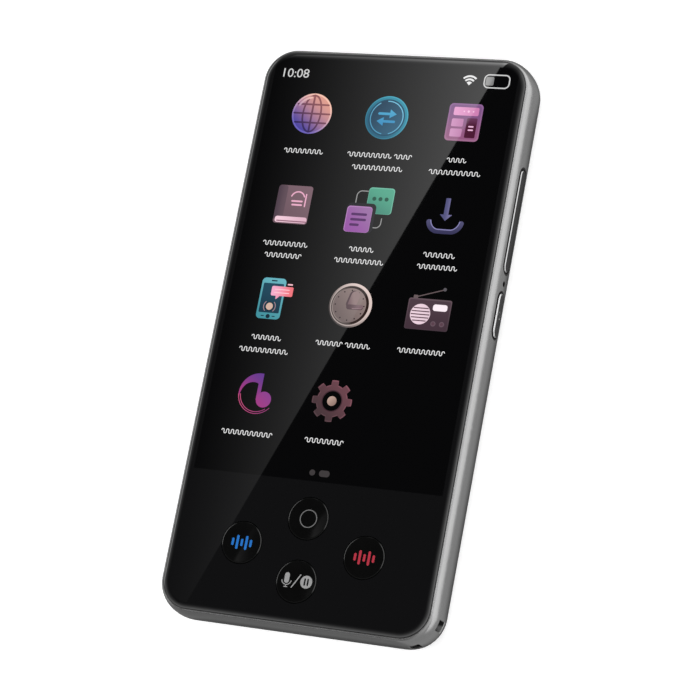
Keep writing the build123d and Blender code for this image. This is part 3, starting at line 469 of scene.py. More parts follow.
# ---------------- finishes of the inner pieces
def inner_metal(name, dark, light, roughness, brushed=None):
    """Rolled or stamped sheet: brushed along one axis, or with a fine even grain."""
    made = new_finish(name)
    where = made.at()
    if brushed:
        where = made.node("Mapping", {"Vector": where, "Scale": brushed})
    grain = made.noise(0.15, detail=3.0, where=where)
    stain = made.noise(3.0)
    return made.principled({
        "Base Color": made.mix(grain * 0.6 + stain * 0.4, tone(dark), tone(light)),
        "Metallic": 1.0,
        "Roughness": grain * 0.12 + roughness,
        "Normal": made.bump(grain, 0.006, 0.5),
    })


def inner_moulding(name, dark, light, roughness, grain_size=0.3, depth=0.01):
    """Moulded plastic, film or foam with a mottled skin."""
    made = new_finish(name)
    grain = made.noise(grain_size, detail=3.0)
    return made.principled({
        "Base Color": made.mix(grain, tone(*dark), tone(*light)),
        "Roughness": made.noise(grain_size * 2) * 0.15 + roughness,
        "Normal": made.bump(grain, depth, 0.5),
    })


def flat_cable():
    """Amber film with the copper lines of its conductors showing through."""
    made = new_finish("amber_flat_cable")
    x, y, z = made.places()
    lines = x.ripple(12.0).rises(0.35, 0.6)
    shade = made.noise(2.0)
    film = made.mix(shade, tone(120, 70, 20), tone(150, 92, 30))
    return made.principled({
        "Base Color": made.mix(lines, film, tone(196, 120, 52)),
        "Roughness": shade * 0.1 + 0.28,
        "Normal": made.bump(lines, 0.02, 0.5),
    })


def board_laminate():
    """Dark green board with raised tracks, and gilt pads where the random cells are small."""
    made = new_finish("board_laminate")
    x, y, z = made.places()
    tracks = ((x * 9.0).sine().most((y * 7.0).sine())).rises(0.72, 0.86)
    pads = made.cells(1.7).rises(0.2, 0.14)
    solder_mask = made.mix(tracks, tone(16, 46, 34), tone(28, 74, 52))
    return made.principled({
        "Base Color": made.mix(pads, solder_mask, tone(206, 168, 92)),
        "Metallic": pads,
        "Roughness": made.noise(0.8) * 0.1 + 0.3,
        "Normal": made.bump(tracks * 0.5 + pads * 0.5, 0.03, 0.6),
    })


def battery_foil():
    """Drawn aluminium foil, wrinkled by handling, with a grey print band at its upper end."""
    made = new_finish("battery_foil")
    band_width = 7.0
    band_start = spread("battery")[1][1] - band_width
    band = made.places()[1].rises(band_start, band_start + 0.2)
    creases = made.cells(6.0, feature="SMOOTH_F1")
    grain = made.noise(0.5, detail=4.0)
    return made.principled({
        "Base Color": made.mix(band, made.mix(grain, tone(176), tone(206)), tone(58)),
        "Metallic": 1.0 - band,
        "Roughness": grain * 0.14 + 0.3,
        "Normal": made.bump(creases * 0.8 + grain * 0.2, 0.08, 0.5),
    })


inner_metals = {  # dark and light shade, roughness, scale along x, y and z
    "plate_metal": (158, 186, 0.32, (1.0, 0.05, 1.0)),
    "screw_steel": (120, 168, 0.26),
    "dome_steel": (178, 206, 0.18),
    "can_steel": (170, 196, 0.3, (0.08, 1.0, 1.0)),
    "socket_steel": (150, 182, 0.24, (1.0, 0.08, 1.0)),
}
inner_mouldings = {  # dark and light shade, roughness, grain size, relief depth
    "clear_adhesive": ([205], [225], 0.2),
    "display_glass": ([14], [20], 0.05, 2.0, 0.002),
    "backlight_film": ([222], [238], 0.3),
    "inner_plastic": ([28], [40], 0.5),
    "chip_resin": ([22], [34], 0.55, 0.12),
    "connector_plastic": ((190, 180, 150), (214, 206, 180), 0.45),
    "foam_black": ([14], [44], 0.85, 0.35, 0.12),
}
slot_finishes = {
    "frame_metal": blasted_metal("frame_metal", FRAME_METAL, 0.2, frame_openings),
    "button_metal": blasted_metal("button_metal", BUTTON_METAL, 0.26),
    "front_glass": black_glass(),
    "seal_rubber": rubber(),
    "cover_plastic": cover_plastic(),
    "flex_film": flat_cable(),
    "board_laminate": board_laminate(),
    "battery_foil": battery_foil(),
    "lens_glass": lens_glass(),
    "flash_diffuser": flash_diffuser(),
    **{slot: inner_metal(slot, *values) for slot, values in inner_metals.items()},
    **{slot: inner_moulding(slot, *values) for slot, values in inner_mouldings.items()},
}
node_finishes = {
    **{key: key_plastic(key) for key in key_names},
    "power_button": cut_button("power_button", 0.24),
    "volume_rocker": cut_button("volume_rocker", 0.18),
    "speaker_mesh": woven_mesh(),
    "usb_tongue": contact_tongue(),
}

for part in frame["record"]["subparts"]:
    slots = frame["nodes"][part["node"]].data.materials
    slots.clear()
    slots.append(node_finishes.get(part["node"]) or slot_finishes[part["material_slot"]])


# ---------------- surfaces
def placed(name, data):
    """A new object in the scene, at the origin, that holds this data."""
    made = bpy.data.objects.new(name, data)
    bpy.context.scene.collection.objects.link(made)
    return made


def grid_faces(rows, columns):
    """The quads of a rows by columns grid of points, turned so that row x column faces outwards."""
    first = (np.arange(rows - 1)[:, None] * columns + np.arange(columns - 1)).ravel()
    return np.stack([first, first + columns, first + columns + 1, first + 1], axis=1)


def new_piece(name, grids, finishes, body):
    """One piece from grids of points (millimetres), each in the finish of the same place.

    Points that fall together, at a pole or a seam, are merged. Its thickness goes downwards."""
    points = np.concatenate([grid.reshape(-1, 3) for grid in grids]) * MM
    offsets = np.cumsum([0] + [grid.shape[0] * grid.shape[1] for grid in grids])
    faces = [grid_faces(*grid.shape[:2]) + start for grid, start in zip(grids, offsets)]
    palette = list(dict.fromkeys(finishes))
    slots = [np.full(len(quads), palette.index(paint)) for quads, paint in zip(faces, finishes)]
    mesh = bpy.data.meshes.new(name)
    mesh.from_pydata(points.tolist(), [], np.concatenate(faces).tolist())
    mesh.polygons.foreach_set("material_index", np.concatenate(slots).astype(np.int32))
    for paint in palette:
        mesh.materials.append(paint)
    work = bmesh.new()
    work.from_mesh(mesh)
    bmesh.ops.remove_doubles(work, verts=work.verts, dist=0.4 * layer * MM)
    work.to_mesh(mesh)
    work.free()
    piece = placed(name, mesh)
    solid = piece.modifiers.new("thickness", "SOLIDIFY")
    solid.thickness = shape_depth * MM
    solid.offset = -1.0
    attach(piece, body)


def ring(x, y, inner, outer, start=0.0, stop=TURN, count=49):
    """Share u of the way from the inner to the outer circle, at angle v. Either radius may change
    with the angle."""
    turn = np.radians(np.linspace(start, stop, count))
    radius = np.stack([inner + 0 * turn, outer + 0 * turn])
    return np.stack([x + radius * np.cos(turn), y + radius * np.sin(turn)], axis=2)


def disc(x, y, radius, count=49):
    """A ring whose inner circle is its centre."""
    return ring(x, y, 0.0, radius, count=count)


def arc(x, y, radius, start, stop, count=25):
    """Points on a circle from angle start to stop, in degrees."""
    return ring(x, y, 0.0, radius, start, stop, count)[1]


def toothed_ring(inner, root, tip, teeth):
    """A ring whose outer radius steps smoothly between root and tip as the angle turns."""
    count = teeth * 24 + 1
    turn = np.linspace(0, 2 * np.pi, count)
    wave = np.clip(0.5 + 2.2 * np.cos(teeth * turn), 0, 1)
    return ring(0, 0, inner, root + (tip - root) * wave, count=count)


def box(x, y, width, height, corner):
    """Columns u of a rectangle whose half height follows the corners' circles near both ends."""
    turn = np.linspace(0.0, np.pi / 2, 8)
    start = corner * (1 - np.cos(turn)) - width / 2
    column = np.concatenate([start, -start[::-1]])
    over = np.maximum(np.abs(column) - (width / 2 - corner), 0)
    half = height / 2 - corner + np.sqrt(np.maximum(corner**2 - over**2, 0))
    return ruled(np.stack([x + column, y - half], axis=1), np.stack([x + column, y + half], axis=1))


def ruled(first, second):
    """Straight lines from each point of one run to the same point of another, on its left."""
    return np.stack([np.asarray(first, float), np.asarray(second, float)], axis=1)


def stroke(path, width, rounded=True):
    """A band along a run of points: at distance s its half width is width/2, and in the round
    ends, which pass the run by width/2, the height of the end's circle."""
    path = np.asarray(path, float)
    way = np.concatenate([[0.0], np.cumsum(np.linalg.norm(np.diff(path, axis=0), axis=1))])
    reach = width / 2
    stations = way
    if rounded:
        ends = reach * (1 - np.cos(np.linspace(0, np.pi / 2, 6)))
        stations = np.concatenate([ends - reach, way, way[-1] + reach - ends[::-1]])
    stations = np.unique(np.round(stations, 5))
    inside = np.clip(stations, 0, way[-1])
    heading = np.gradient(path, way, axis=0)
    heading /= np.linalg.norm(heading, axis=1)[:, None]
    middle, course = (
        np.stack([np.interp(inside, way, run[:, axis]) for axis in (0, 1)], axis=1)
        for run in (path, heading)
    )
    course /= np.linalg.norm(course, axis=1)[:, None]
    past = stations - inside
    middle = middle + course * past[:, None]
    half = np.sqrt(np.maximum(reach**2 - past**2, 0))
    side = np.stack([-course[:, 1], course[:, 0]], axis=1) * half[:, None]
    return ruled(middle - side, middle + side)


def bar(x, y, far_x, far_y, width):
    """A straight stroke with round ends."""
    return stroke([(x, y), (far_x, far_y)], width)


def joined(*runs):
    """Runs of points one after another."""
    return np.concatenate([np.asarray(run, float) for run in runs])


# ---------------- the lit screen
picture_corners = (-4, -4), (4, 4)  # a run of colours ends here if its paint doesn't say where


def screen_light(name, paint, middle=(0.0, 0.0)):
    """Pixels lit behind the glass, under the glass's own gloss. A paint is one colour in display
    values, or the first and the last of a run, and where from the middle the two stand."""
    made = new_finish(name)
    first, *run = paint if isinstance(paint[0], tuple) else (paint,)
    colour = tone(*first)
    if run:
        last, start, stop = run if len(run) == 3 else (*run, *picture_corners)
        x, y, z = made.places()
        way = np.subtract(stop, start)
        slope, start = way / (way @ way), np.add(middle, start)
        share = (x - start[0]) * slope[0] + (y - start[1]) * slope[1]
        colour = made.mix(share.rises(0.0, 1.0), colour, tone(*last))
    return made.principled({
        "Base Color": tone(6),
        "Roughness": 0.02,
        "IOR": 1.5,
        "Emission Color": colour,
        "Emission Strength": 1.0,
    })


def new_picture(name, x, y, lights, shapes):
    """A piece on the screen: shapes round its middle, x and y, each with the name of its light. It
    lies one layer above the last, or on the layer given after the name."""
    grids, finishes = [], []
    for shape, light, *level in shapes:
        level = level[0] if level else len(grids)
        height = np.full(shape.shape[:2] + (1,), glass_top + lift + layer * level)
        grids.append(np.concatenate([shape + (x, y), height], axis=2))
        finishes.append(lights[light])
    new_piece(name, grids, finishes, "housing")


def picture(x, y, **paints):
    """Makes the picture whose shapes a function yields, under the function's name."""

    def make(draw):
        name = draw.__name__
        lights = {part: screen_light(f"{name}_{part}", paint, (x, y)) for part, paint in paints.items()}
        new_picture(name, x, y, lights, draw())

    return make


screen_middle = 0.15
left_column, right_column = screen_middle - 19.3, screen_middle + 19.3
first_row, second_row, third_row, last_row = 52.87, 29.87, 6.57, -16.43


@picture(
    left_column, first_row,
    ball=((70, 66, 158), (226, 160, 142), (-3.6, -3.9), (3.0, 4.6)),
    rim=((104, 96, 186), (250, 198, 178), (-3.6, -3.9), (2.4, 4.6)),
    line=((40, 36, 92), (150, 92, 92), (-3.6, -3.9), (3.0, 4.6)),
)
def globe_picture():
    """A round globe with two meridians and three parallels, violet below and peach above."""
    reach = 4.6
    yield disc(0, 0, 5.1), "rim"
    yield disc(0, 0, 4.7), "ball"
    yield bar(0, -reach, 0, reach, 0.5), "line", 3
    turn = np.radians(np.linspace(-88, 88, 25))
    for bulge in (-2.3, 2.3):
        meridian = np.stack([bulge * np.cos(turn), reach * np.sin(turn)], axis=1)
        yield stroke(meridian, 0.45), "line", 3
    for height in (-2.3, 0.0, 2.3):
        half = sqrt(reach**2 - height**2)
        yield stroke(np.linspace((-half, height), (half, height), 15), 0.45), "line", 4
    yield stroke(arc(0, 0, 4.1, 100, 150), 0.5), "rim", 5


@picture(
    screen_middle, first_row,
    arrow=((50, 136, 188), (76, 168, 206), (0, -3), (0, 3)),
    gleam=((70, 150, 186), (120, 196, 226)),
    lip=((40, 116, 142), (70, 168, 192)),
    rim=((30, 92, 120), (46, 142, 166)),
    groove=(22, 74, 100),
    face=((28, 62, 86), (42, 92, 120), (-4, 3), (4, -3)),
)
def exchange_picture():
    """A blue coin with a double rim and two arrows that pass each other."""
    for radius, paint in ((5.4, "lip"), (5.15, "rim"), (4.6, "groove"), (4.3, "face")):
        yield disc(0, 0, radius, 73), paint
    for start, stop in ((-75, 95), (120, 262)):
        yield ring(0, 0, 3.98, 4.22, start, stop), "gleam", 4
    head = ruled([(0.7, 2.1), (2.35, 0.95)], [(0.7, -0.1), (2.35, 0.9)])[::-1]
    for side in (-1, 1):
        yield bar(-2.0 * side, 0.95 * side, 0.9 * side, 0.95 * side, 0.62), "arrow", 5
        yield head * side, "arrow", 6


@picture(
    right_column + 0.15, first_row - 0.1,
    edge=((160, 106, 142), (142, 98, 150), (0, -4.6), (0, 4.6)),
    body=((148, 88, 128), (126, 84, 134), (0, -4.2), (0, 4.2)),
    strip=((230, 160, 206), (208, 128, 180), (-3.4, 0), (3.4, 0)),
    tile=((206, 146, 190), (190, 124, 172), (-3.4, 0), (0, 0)),
    key=((76, 26, 52), (104, 54, 88), (0, -1), (0, 1.1)),
    mark=(244, 190, 224),
)
def calculator_picture():
    """A violet rounded case with a display strip, two pale tiles and a dark equals key."""
    yield box(0, 0, 8.4, 9.25, 1.0), "edge"
    yield box(0, 0.05, 7.7, 8.5, 0.8), "body"
    yield box(0.15, 2.7, 6.2, 2.05, 0.35), "strip", 2
    yield box(-1.6, -0.12, 2.9, 1.95, 0.3), "tile", 2
    yield box(-1.6, -2.62, 2.9, 2.0, 0.3), "tile", 2
    yield box(1.95, -1.35, 2.6, 4.9, 0.3), "key", 2
    for height in (-1.0, -1.85):
        yield bar(1.45, height, 2.4, height, 0.36), "mark", 3
    for place, size in ((-0.4, 0.2), (0.7, 0.3), (1.9, 0.2)):
        yield disc(place, 2.7, size, 13), "mark", 3


@picture(
    left_column - 0.15, second_row + 0.05,
    cover=((112, 88, 98), (124, 98, 108), (-3, -4), (4, 4)),
    spine=((80, 64, 76), (98, 79, 89), (-4.3, 0), (-2.2, 0)),
    page=((246, 208, 222), (226, 182, 200), (-4, 0), (4, 0)),
    line=(238, 176, 202),
    leaf=(150, 104, 124),
)
def book_picture():
    """A mauve book with a dark spine, pale page edges and a small emblem of lines."""
    yield box(0, 0, 8.8, 9.5, 0.7), "cover"
    yield box(-3.2, 0.35, 2.35, 8.7, 0.6), "spine"
    yield box(0.15, -3.75, 8.2, 1.5, 0.6), "page"
    yield box(0.35, -4.12, 7.7, 0.3, 0.14), "leaf"
    yield stroke(arc(0.9, 1.5, 1.75, 20, 160), 0.32), "line", 4
    yield bar(-0.4, 0.9, 2.1, 0.9, 0.42), "line", 4
    yield bar(-0.2, 0.0, 2.1, 0.0, 0.42), "line", 4
    yield bar(3.0, -0.3, 3.0, 2.7, 0.32), "line", 4


@picture(
    screen_middle, second_row,
    line=(150,),
    ink=(84, 42, 100),
    dot=(28, 84, 68),
    green=((64, 134, 116), (82, 166, 138), (0, -1), (3, 5.5)),
    violet=((150, 82, 164), (154, 112, 164), (-4.5, -5), (0.5, 1)),
    rim=(112, 186, 162),
    shade=(26, 26, 32),
    edge=(180, 130, 188),
)
def typing_picture():
    """A green tile with three dots and a violet one with three lines, joined by grey corner lines."""
    for start, bend, stop in (
        ((-3.65, 1.4), arc(-2.4, 3.35, 1.25, 180, 90), (-1.0, 4.6)),
        ((3.6, -1.9), arc(2.4, -3.0, 1.2, 0, -90), (1.3, -4.2)),
    ):
        yield stroke(joined([start], bend, [stop]), 0.24), "line", 0
    yield box(2.45, 2.4, 6.5, 6.45, 0.8), "rim"
    yield box(2.4, 2.3, 6.2, 6.15, 0.7), "green"
    yield box(-1.85, -2.05, 7.3, 7.3, 1.1), "shade"
    yield box(-2.25, -2.4, 6.4, 6.4, 0.8), "edge"
    yield box(-2.2, -2.5, 6.1, 6.1, 0.7), "violet"
    for place in (0.85, 2.4, 3.95):
        yield disc(place, 2.85, 0.5, 21), "dot", 7
    for height, end in ((-1.2, -0.5), (-2.5, -0.5), (-3.8, -2.1)):
        yield bar(-3.9, height, end, height, 0.62), "ink", 7


@picture(
    right_column + 0.1, second_row,
    shaft=((86, 86, 128), (116, 112, 156), (-0.5, 0), (0.8, 0)),
    tray=((56, 54, 88), (84, 82, 118), (0, -4.6), (0, -1.0)),
    gleam=(142, 138, 188),
)
def download_picture():
    """An indigo arrow that points down into a curved tray."""
    yield box(-0.15, 2.15, 1.15, 4.1, 0.15), "shaft"
    yield ruled([(-1.62, 0.2), (-0.15, -1.3)], [(1.38, 0.2), (-0.14, -1.3)]), "shaft"
    bends = arc(-1.5, -1.4, 2.5, 195, 262, 13), arc(1.5, -1.4, 2.5, -82, -15, 13)
    legs = joined([(-4.0, -1.75)], bends[0], [(0, -3.9)], bends[1], [(4.0, -1.75)])
    yield stroke(legs, 1.2), "tray"
    yield stroke(legs * (0.9, 1.0) + (0, 0.42), 0.22), "gleam"


@picture(
    left_column - 0.9, third_row + 0.05,
    shell=((64, 144, 156), (104, 180, 192), (-3, -5), (3, 5)),
    glass=((22, 56, 74), (30, 72, 92), (0, -3.5), (0, 3.5)),
    dark=(16, 40, 54),
    arc=(160, 132, 140),
    bubble=((246, 174, 206), (240, 116, 124), (-0.4, 0), (5.2, 0)),
    trace=(255, 204, 214),
    dot=(214, 180, 164),
    lid=(250, 196, 206),
)
def phone_picture():
    """A teal telephone with a peach dot between two arcs, and a pink bubble over its edge."""
    yield box(0, 0, 6.15, 10.0, 1.0), "shell"
    yield box(0, 0.1, 5.2, 7.2, 0.25), "glass"
    yield bar(-0.6, 4.35, 0.6, 4.35, 0.3), "dark", 2
    yield disc(0, -4.35, 0.52, 25), "dark", 2
    yield bar(-1.7, -4.3, -1.1, -4.3, 0.22), "dark", 2
    yield bar(1.1, -4.3, 1.7, -4.3, 0.22), "dark", 2
    for side in (0, 180):
        yield stroke(arc(-0.05, -1.95, 1.5, side - 46, side + 46), 0.2), "arc", 2
    yield disc(-0.05, -1.95, 1.1, 33), "dark"
    yield disc(-0.05, -1.95, 0.88, 33), "dot"
    yield box(2.45, 1.9, 5.5, 2.35, 0.35), "bubble"
    yield ruled([(1.0, 0.9), (1.1, -0.05)], [(2.2, 0.9), (1.25, -0.05)]), "bubble"
    yield bar(3.7, 3.65, 4.7, 3.65, 0.34), "lid"
    for height in (2.3, 1.5):
        yield bar(0.6, height, 4.2, height, 0.2), "trace", 12


@picture(
    screen_middle, third_row,
    rim=((62, 56, 56), (226, 206, 200), (-4, -4), (4, 3)),
    bright=((176, 162, 158), (218, 198, 192), (-4, -3), (4, 3)),
    inner=((80, 70, 68), (42, 28, 24), (-4.2, -1), (3.6, 1)),
    lip=((156, 142, 138), (44, 30, 28), (-4.5, -1), (0.5, 0)),
    face=((110, 96, 95), (142, 124, 121), (-4, -3), (3, 3)),
    tick=(42, 30, 36),
    hand=((116, 92, 98), (148, 126, 126), (-0.6, 0), (1.2, 0.6)),
    low_hand=((88, 68, 74), (128, 104, 110), (-0.6, 0), (2.7, 0)),
    shadow=(84, 66, 72),
    edge=(150, 124, 130),
)
def clock_picture():
    """A mauve clock: a rim lit from the upper right, its shade on the face, ticks, broad hands."""
    for place, radius, paint in (
        (0, 5.35, "rim"),
        (-0.04, 4.98, "bright"),
        (-0.1, 4.7, "inner"),
        (-0.12, 4.4, "lip"),
        (-0.22, 4.15, "face"),
    ):
        yield disc(place, 0, radius, 73), paint
    for hour in range(12):
        turn = radians(hour * TURN / 12)
        yield disc(3.6 * cos(turn) - 0.2, 3.6 * sin(turn), 0.18, 13), "tick", 5
    yield bar(-0.05, 0.35, 0.5, 2.5, 2.2), "shadow", 6
    yield bar(0.4, 0.35, 0.9, 2.4, 2.2), "hand", 7
    yield bar(-0.35, -0.4, 2.7, -0.35, 1.2), "shadow", 8
    yield bar(-0.25, -0.3, 2.8, -0.2, 0.95), "low_hand", 9
    yield bar(0.6, -0.75, 2.8, -0.65, 0.2), "edge", 10


@picture(
    right_column + 0.15, third_row - 0.6,
    edge=((70, 56, 64), (98, 80, 88), (0, -4), (0, 4)),
    body=((68, 50, 60), (78, 60, 70), (0, -3.6), (0, 3.4)),
    pale=((240, 214, 226), (224, 196, 210), (-4, 0), (4, 0)),
    rod=(104, 90, 92),
    stripe=(92, 66, 78),
    knob=(104, 84, 94),
    tip=(92, 88, 94),
    dial=(255, 240, 248),
)
def radio_picture():
    """A dark mauve radio: striped round grille, pale dial, two knobs and a raised aerial."""
    yield bar(-3.6, 4.0, 3.0, 6.15, 0.24), "rod"
    yield disc(3.0, 6.2, 0.42, 21), "tip", 1
    yield box(-3.75, 4.0, 1.1, 0.9, 0.2), "rod", 1
    yield box(0, 0, 10.6, 7.4, 0.5), "edge"
    yield box(0, -0.1, 10.1, 6.9, 0.4), "body"
    grille = -1.95
    yield disc(grille, -0.05, 2.45, 57), "pale"
    for height in (-1.6, -0.85, -0.1, 0.65, 1.4):
        half = sqrt(2.3**2 - height**2)
        ends = [(grille - half, height), (grille + half, height)]
        yield stroke(ends, 0.26, rounded=False), "stripe", 6
    yield box(2.65, 1.75, 3.5, 1.55, 0.55), "dial"
    for place in (1.6, 3.7):
        yield disc(place, -2.1, 0.62, 25), "knob", 8
        yield disc(place, -2.1, 0.4, 25), "stripe", 9


@picture(
    left_column + 0.5, last_row,
    wash=((168, 58, 126), (100, 56, 142), (-3, -3), (1.5, 4.5)),
    thin=((206, 84, 132), (150, 60, 120), (-4, 0), (4, -4)),
    head=((160, 58, 132), (138, 62, 142), (0, -3), (3, 1)),
)
def music_picture():
    """A note whose beam sweeps round into two thin arcs, violet above and pink below."""
    start, stop, count = 90, 196, 27
    swept = np.interp(np.linspace(start, stop, count), [start, 150, stop], [2.2, 3.9, 4.75])
    outer, inner = (arc(0, 0, radius, start, stop, count) for radius in (4.85, swept))
    yield ruled(outer, inner), "wash"
    yield box(0.25, 1.65, 0.95, 6.4, 0.1), "wash"
    yield disc(1.75, -1.3, 1.9, 49), "head"
    yield stroke(arc(0, 0, 4.8, 186, 318, 41), 0.16), "thin", 3
    yield stroke(arc(0, 0, 4.35, 186, 306, 41), 0.16), "thin", 3


@picture(
    screen_middle, last_row,
    rim=((86, 66, 71), (134, 84, 96)),
    web=((70, 54, 58), (110, 70, 79)),
    hub=((192, 163, 150), (150, 122, 113), (-1, 1), (1, -1)),
    lip=(70, 46, 54),
)
def gear_picture():
    """A mauve gear wheel with eight teeth, a black middle and a peach hub."""
    yield toothed_ring(2.35, 3.85, 4.95, 8), "rim"
    yield toothed_ring(2.6, 3.6, 4.65, 8), "web"
    yield ring(0, 0, 2.35, 2.6), "lip", 1
    yield disc(0, 0, 1.15, 33), "hub"


# ---------------- the status line, pages and labels
@picture(19.1, 61.95, bright=(232,))
def wireless_mark():
    """Two arcs over a wedge, all round one foot."""
    for inner, outer, count in ((2.06, 2.5, 25), (1.28, 1.72, 25), (0.0, 0.95, 13)):
        yield ring(0, 0, inner, outer, 46, 134, count), "bright", 0


@picture(
    25.85, 63.2,
    charge=((150,), (128,), (-2.7, 0), (-0.7, 0)),
    line=(206,),
)
def battery_mark():
    """A battery's outline, part full."""
    half_width, half_height, corner = 3.1, 1.6, 1.1
    over, up = half_width - corner, half_height - corner
    quarters = [
        arc(over * across, up * along, corner, start, start + 90, 9)
        for across, along, start in ((1, 1, 0), (-1, 1, 90), (-1, -1, 180), (1, -1, 270))
    ]
    outline = joined(*quarters, [quarters[0][0]])
    yield stroke(outline, 0.3, rounded=False), "line", 0
    yield box(-1.75, 0, 2.0, 2.1, 0.35), "charge", 0


def time_digits(low_corner, high_corner):
    """Plain clock digits, set in the tool's own face and fitted between two points on the glass."""
    curve = bpy.data.curves.new("time_digits", "FONT")
    curve.body = "10:08"
    curve.size = 3.05 * MM
    curve.extrude = 0.5 * shape_depth * MM
    curve.resolution_u = 4
    writing = placed("time_writing", curve)
    bpy.context.view_layer.update()
    mesh = bpy.data.meshes.new_from_object(writing)
    bpy.data.objects.remove(writing)
    points = np.empty(len(mesh.vertices) * 3, np.float32)
    mesh.vertices.foreach_get("co", points)
    points = points.reshape(-1, 3)
    low, high = points.min(axis=0), points.max(axis=0)
    wanted_low = np.array([*low_corner, glass_top + lift - shape_depth]) * MM
    wanted_high = np.array([*high_corner, glass_top + lift]) * MM
    fitted = wanted_low + (points - low) / (high - low) * (wanted_high - wanted_low)
    mesh.vertices.foreach_set("co", fitted.astype(np.float32).ravel())
    mesh.update()
    mesh.materials.clear()
    mesh.materials.append(screen_light("time_light", (210,)))
    piece = placed("time_digits", mesh)
    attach(piece, "housing")


time_digits((-28.6, 61.85), (-21.9, 64.05))


@picture(0.0, -33.5, dim=(64, 60, 61))
def page_marks():
    """The dim dot and pill under the pictures that count the screen's pages."""
    yield disc(-1.25, 0, 0.7, 25), "dim", 0
    yield box(1.75, 0, 2.6, 1.5, 0.7), "dim", 0


wave_pitch, wave_straight, wave_width = 0.62, 0.2, 0.2
label_lights = {"line": screen_light("label_light", (228,))}
label_words = {  # each word's left end, right end and middle height
    "label_globe": [(-24.2, -14.3, 43.3)],
    "label_exchange": [(-7.8, 3.3, 43.3), (4.1, 8.4, 43.3), (-6.0, 6.6, 40.2)],
    "label_calculator": [(17.3, 22.0, 43.3), (13.4, 26.0, 40.2)],
    "label_book": [(-24.8, -13.5, 20.1), (-23.8, -14.5, 17.2)],
    "label_typing": [(-2.7, 3.3, 20.1), (-5.9, 6.3, 17.2)],
    "label_download": [(15.9, 23.5, 20.1), (14.9, 24.6, 17.2)],
    "label_phone": [(-22.9, -15.5, -3.0), (-25.4, -13.1, -6.1)],
    "label_clock": [(-6.5, 0.1, -3.0), (0.9, 7.0, -3.0)],
    "label_radio": [(13.9, 25.4, -3.0)],
    "label_music": [(-25.7, -12.9, -26.1)],
    "label_gear": [(-4.5, 5.0, -26.1)],
}


def meander(left, right, height):
    """A run that goes up and down across a line, where a word would stand: half circles by turns
    above and below it, each joined to the next by a straight."""
    count = round((right - left) / wave_pitch)
    radius = (right - left) / count / 2
    number = np.arange(count)[:, None]
    side = 1.0 - 2.0 * (number % 2)
    turn = np.radians(np.linspace(180, 0, 7))[None, :]
    along = left + radius * (2 * number + 1 + np.cos(turn))
    rise = height + side * (wave_straight + radius * np.sin(turn))
    return np.stack([along.ravel(), rise.ravel()], axis=1)


for name, words in label_words.items():
    waves = [(stroke(meander(*word), wave_width), "line", 0) for word in words]
    new_picture(name, -0.14, 0.08, label_lights, waves)


# ---------------- marks on the keys
def printed(name, *values):
    """Ink fired into the key's top: a flat colour that varies faintly, under the key's gloss, and
    glowing faintly in the same colour as painted light.
    """
    made = new_finish(name)
    speckle = made.noise(0.2, detail=3.0)
    full = tone(*values)
    faded = (*(0.82 * value for value in full[:3]), 1.0)
    return made.principled({
        "Base Color": made.mix(speckle, faded, full),
        "Roughness": speckle * 0.08 + 0.12,
        "IOR": 1.5,
        # Painted glow: the ink gives off its own colour at a quarter strength
        "Emission Color": made.mix(speckle, faded, full),
        "Emission Strength": 0.25,
    })


def key_mark(key, shapes):
    """Shapes laid on a key's dished top, each with its ink and layer: height = rim - dish + the
    arc's rise at that radius."""
    middle = sum(spread(key))[:2] / 2
    arc_radius = (key_dish_radius**2 + key_dish**2) / (2 * key_dish)
    bottom = glass_top + key_stand - key_dish
    grids = []
    for shape, ink, level in shapes:
        rise = arc_radius - np.sqrt(arc_radius**2 - (shape**2).sum(axis=2))
        height = bottom + rise + (lift + layer * level)
        grids.append(np.concatenate([shape + middle, height[:, :, None]], axis=2))
    inks = [ink for shape, ink, level in shapes]
    new_piece(key.replace("_key", "_mark"), grids, inks, key)


def even_stroke(start, stop, width, pieces=9):
    """A straight stroke with enough stations to follow the key's hollow."""
    return stroke(np.linspace(start, stop, pieces), width)


def voice_bars(key, *values):
    """Five upright bars, tall and short by turns, as of a sound's strength."""
    ink = printed(key.replace("_key", "_ink"), *values)
    pitch, width = 1.12, 0.6
    shapes = []
    for number, height in enumerate((1.75, 3.3, 1.75, 3.3, 1.75)):
        place, reach = (number - 2) * pitch, (height - width) / 2
        shapes.append((even_stroke((place, -reach), (place, reach), width), ink, 0))
    key_mark(key, shapes)


def mic_pause_mark():
    """A microphone on its stand, a slash, and a round pause sign."""
    ink = printed("mic_pause_ink", 154)
    gap = printed("mic_pause_gap", 12)
    microphone = -2.42
    key_mark("mic_pause_key", [
        (even_stroke((microphone, 0.0), (microphone, 1.3), 1.16), ink, 0),
        (stroke(arc(microphone, 0.22, 1.14, 190, 350), 0.2), ink, 0),
        (even_stroke((microphone, -1.0), (microphone, -1.36), 0.2, 3), ink, 0),
        (even_stroke((-2.78, -1.42), (-2.02, -1.42), 0.2, 5), ink, 0),
        (even_stroke((-0.98, -1.4), (0.8, 1.65), 0.26), ink, 0),
        (disc(2.45, 0.16, 1.47, 49), ink, 0),
        (even_stroke((2.06, -0.5), (2.06, 0.8), 0.4), gap, 1),
        (even_stroke((2.82, -0.5), (2.82, 0.8), 0.4), gap, 1),
    ])


key_mark("home_key", [(ring(0, 0, 1.9, 2.12, count=73), printed("home_mark_ink", 112), 0)])
voice_bars("blue_voice_key", 38, 112, 192)
voice_bars("red_voice_key", 174, 52, 67)
mic_pause_mark()


# ---------------- studio
camera_place = Vector((0.23567, -0.13928, 0.54676))
camera_aim = Vector((0.002222, -0.004041, 0.010669))
camera_roll = radians(-51.721)
focal_length = 134.31
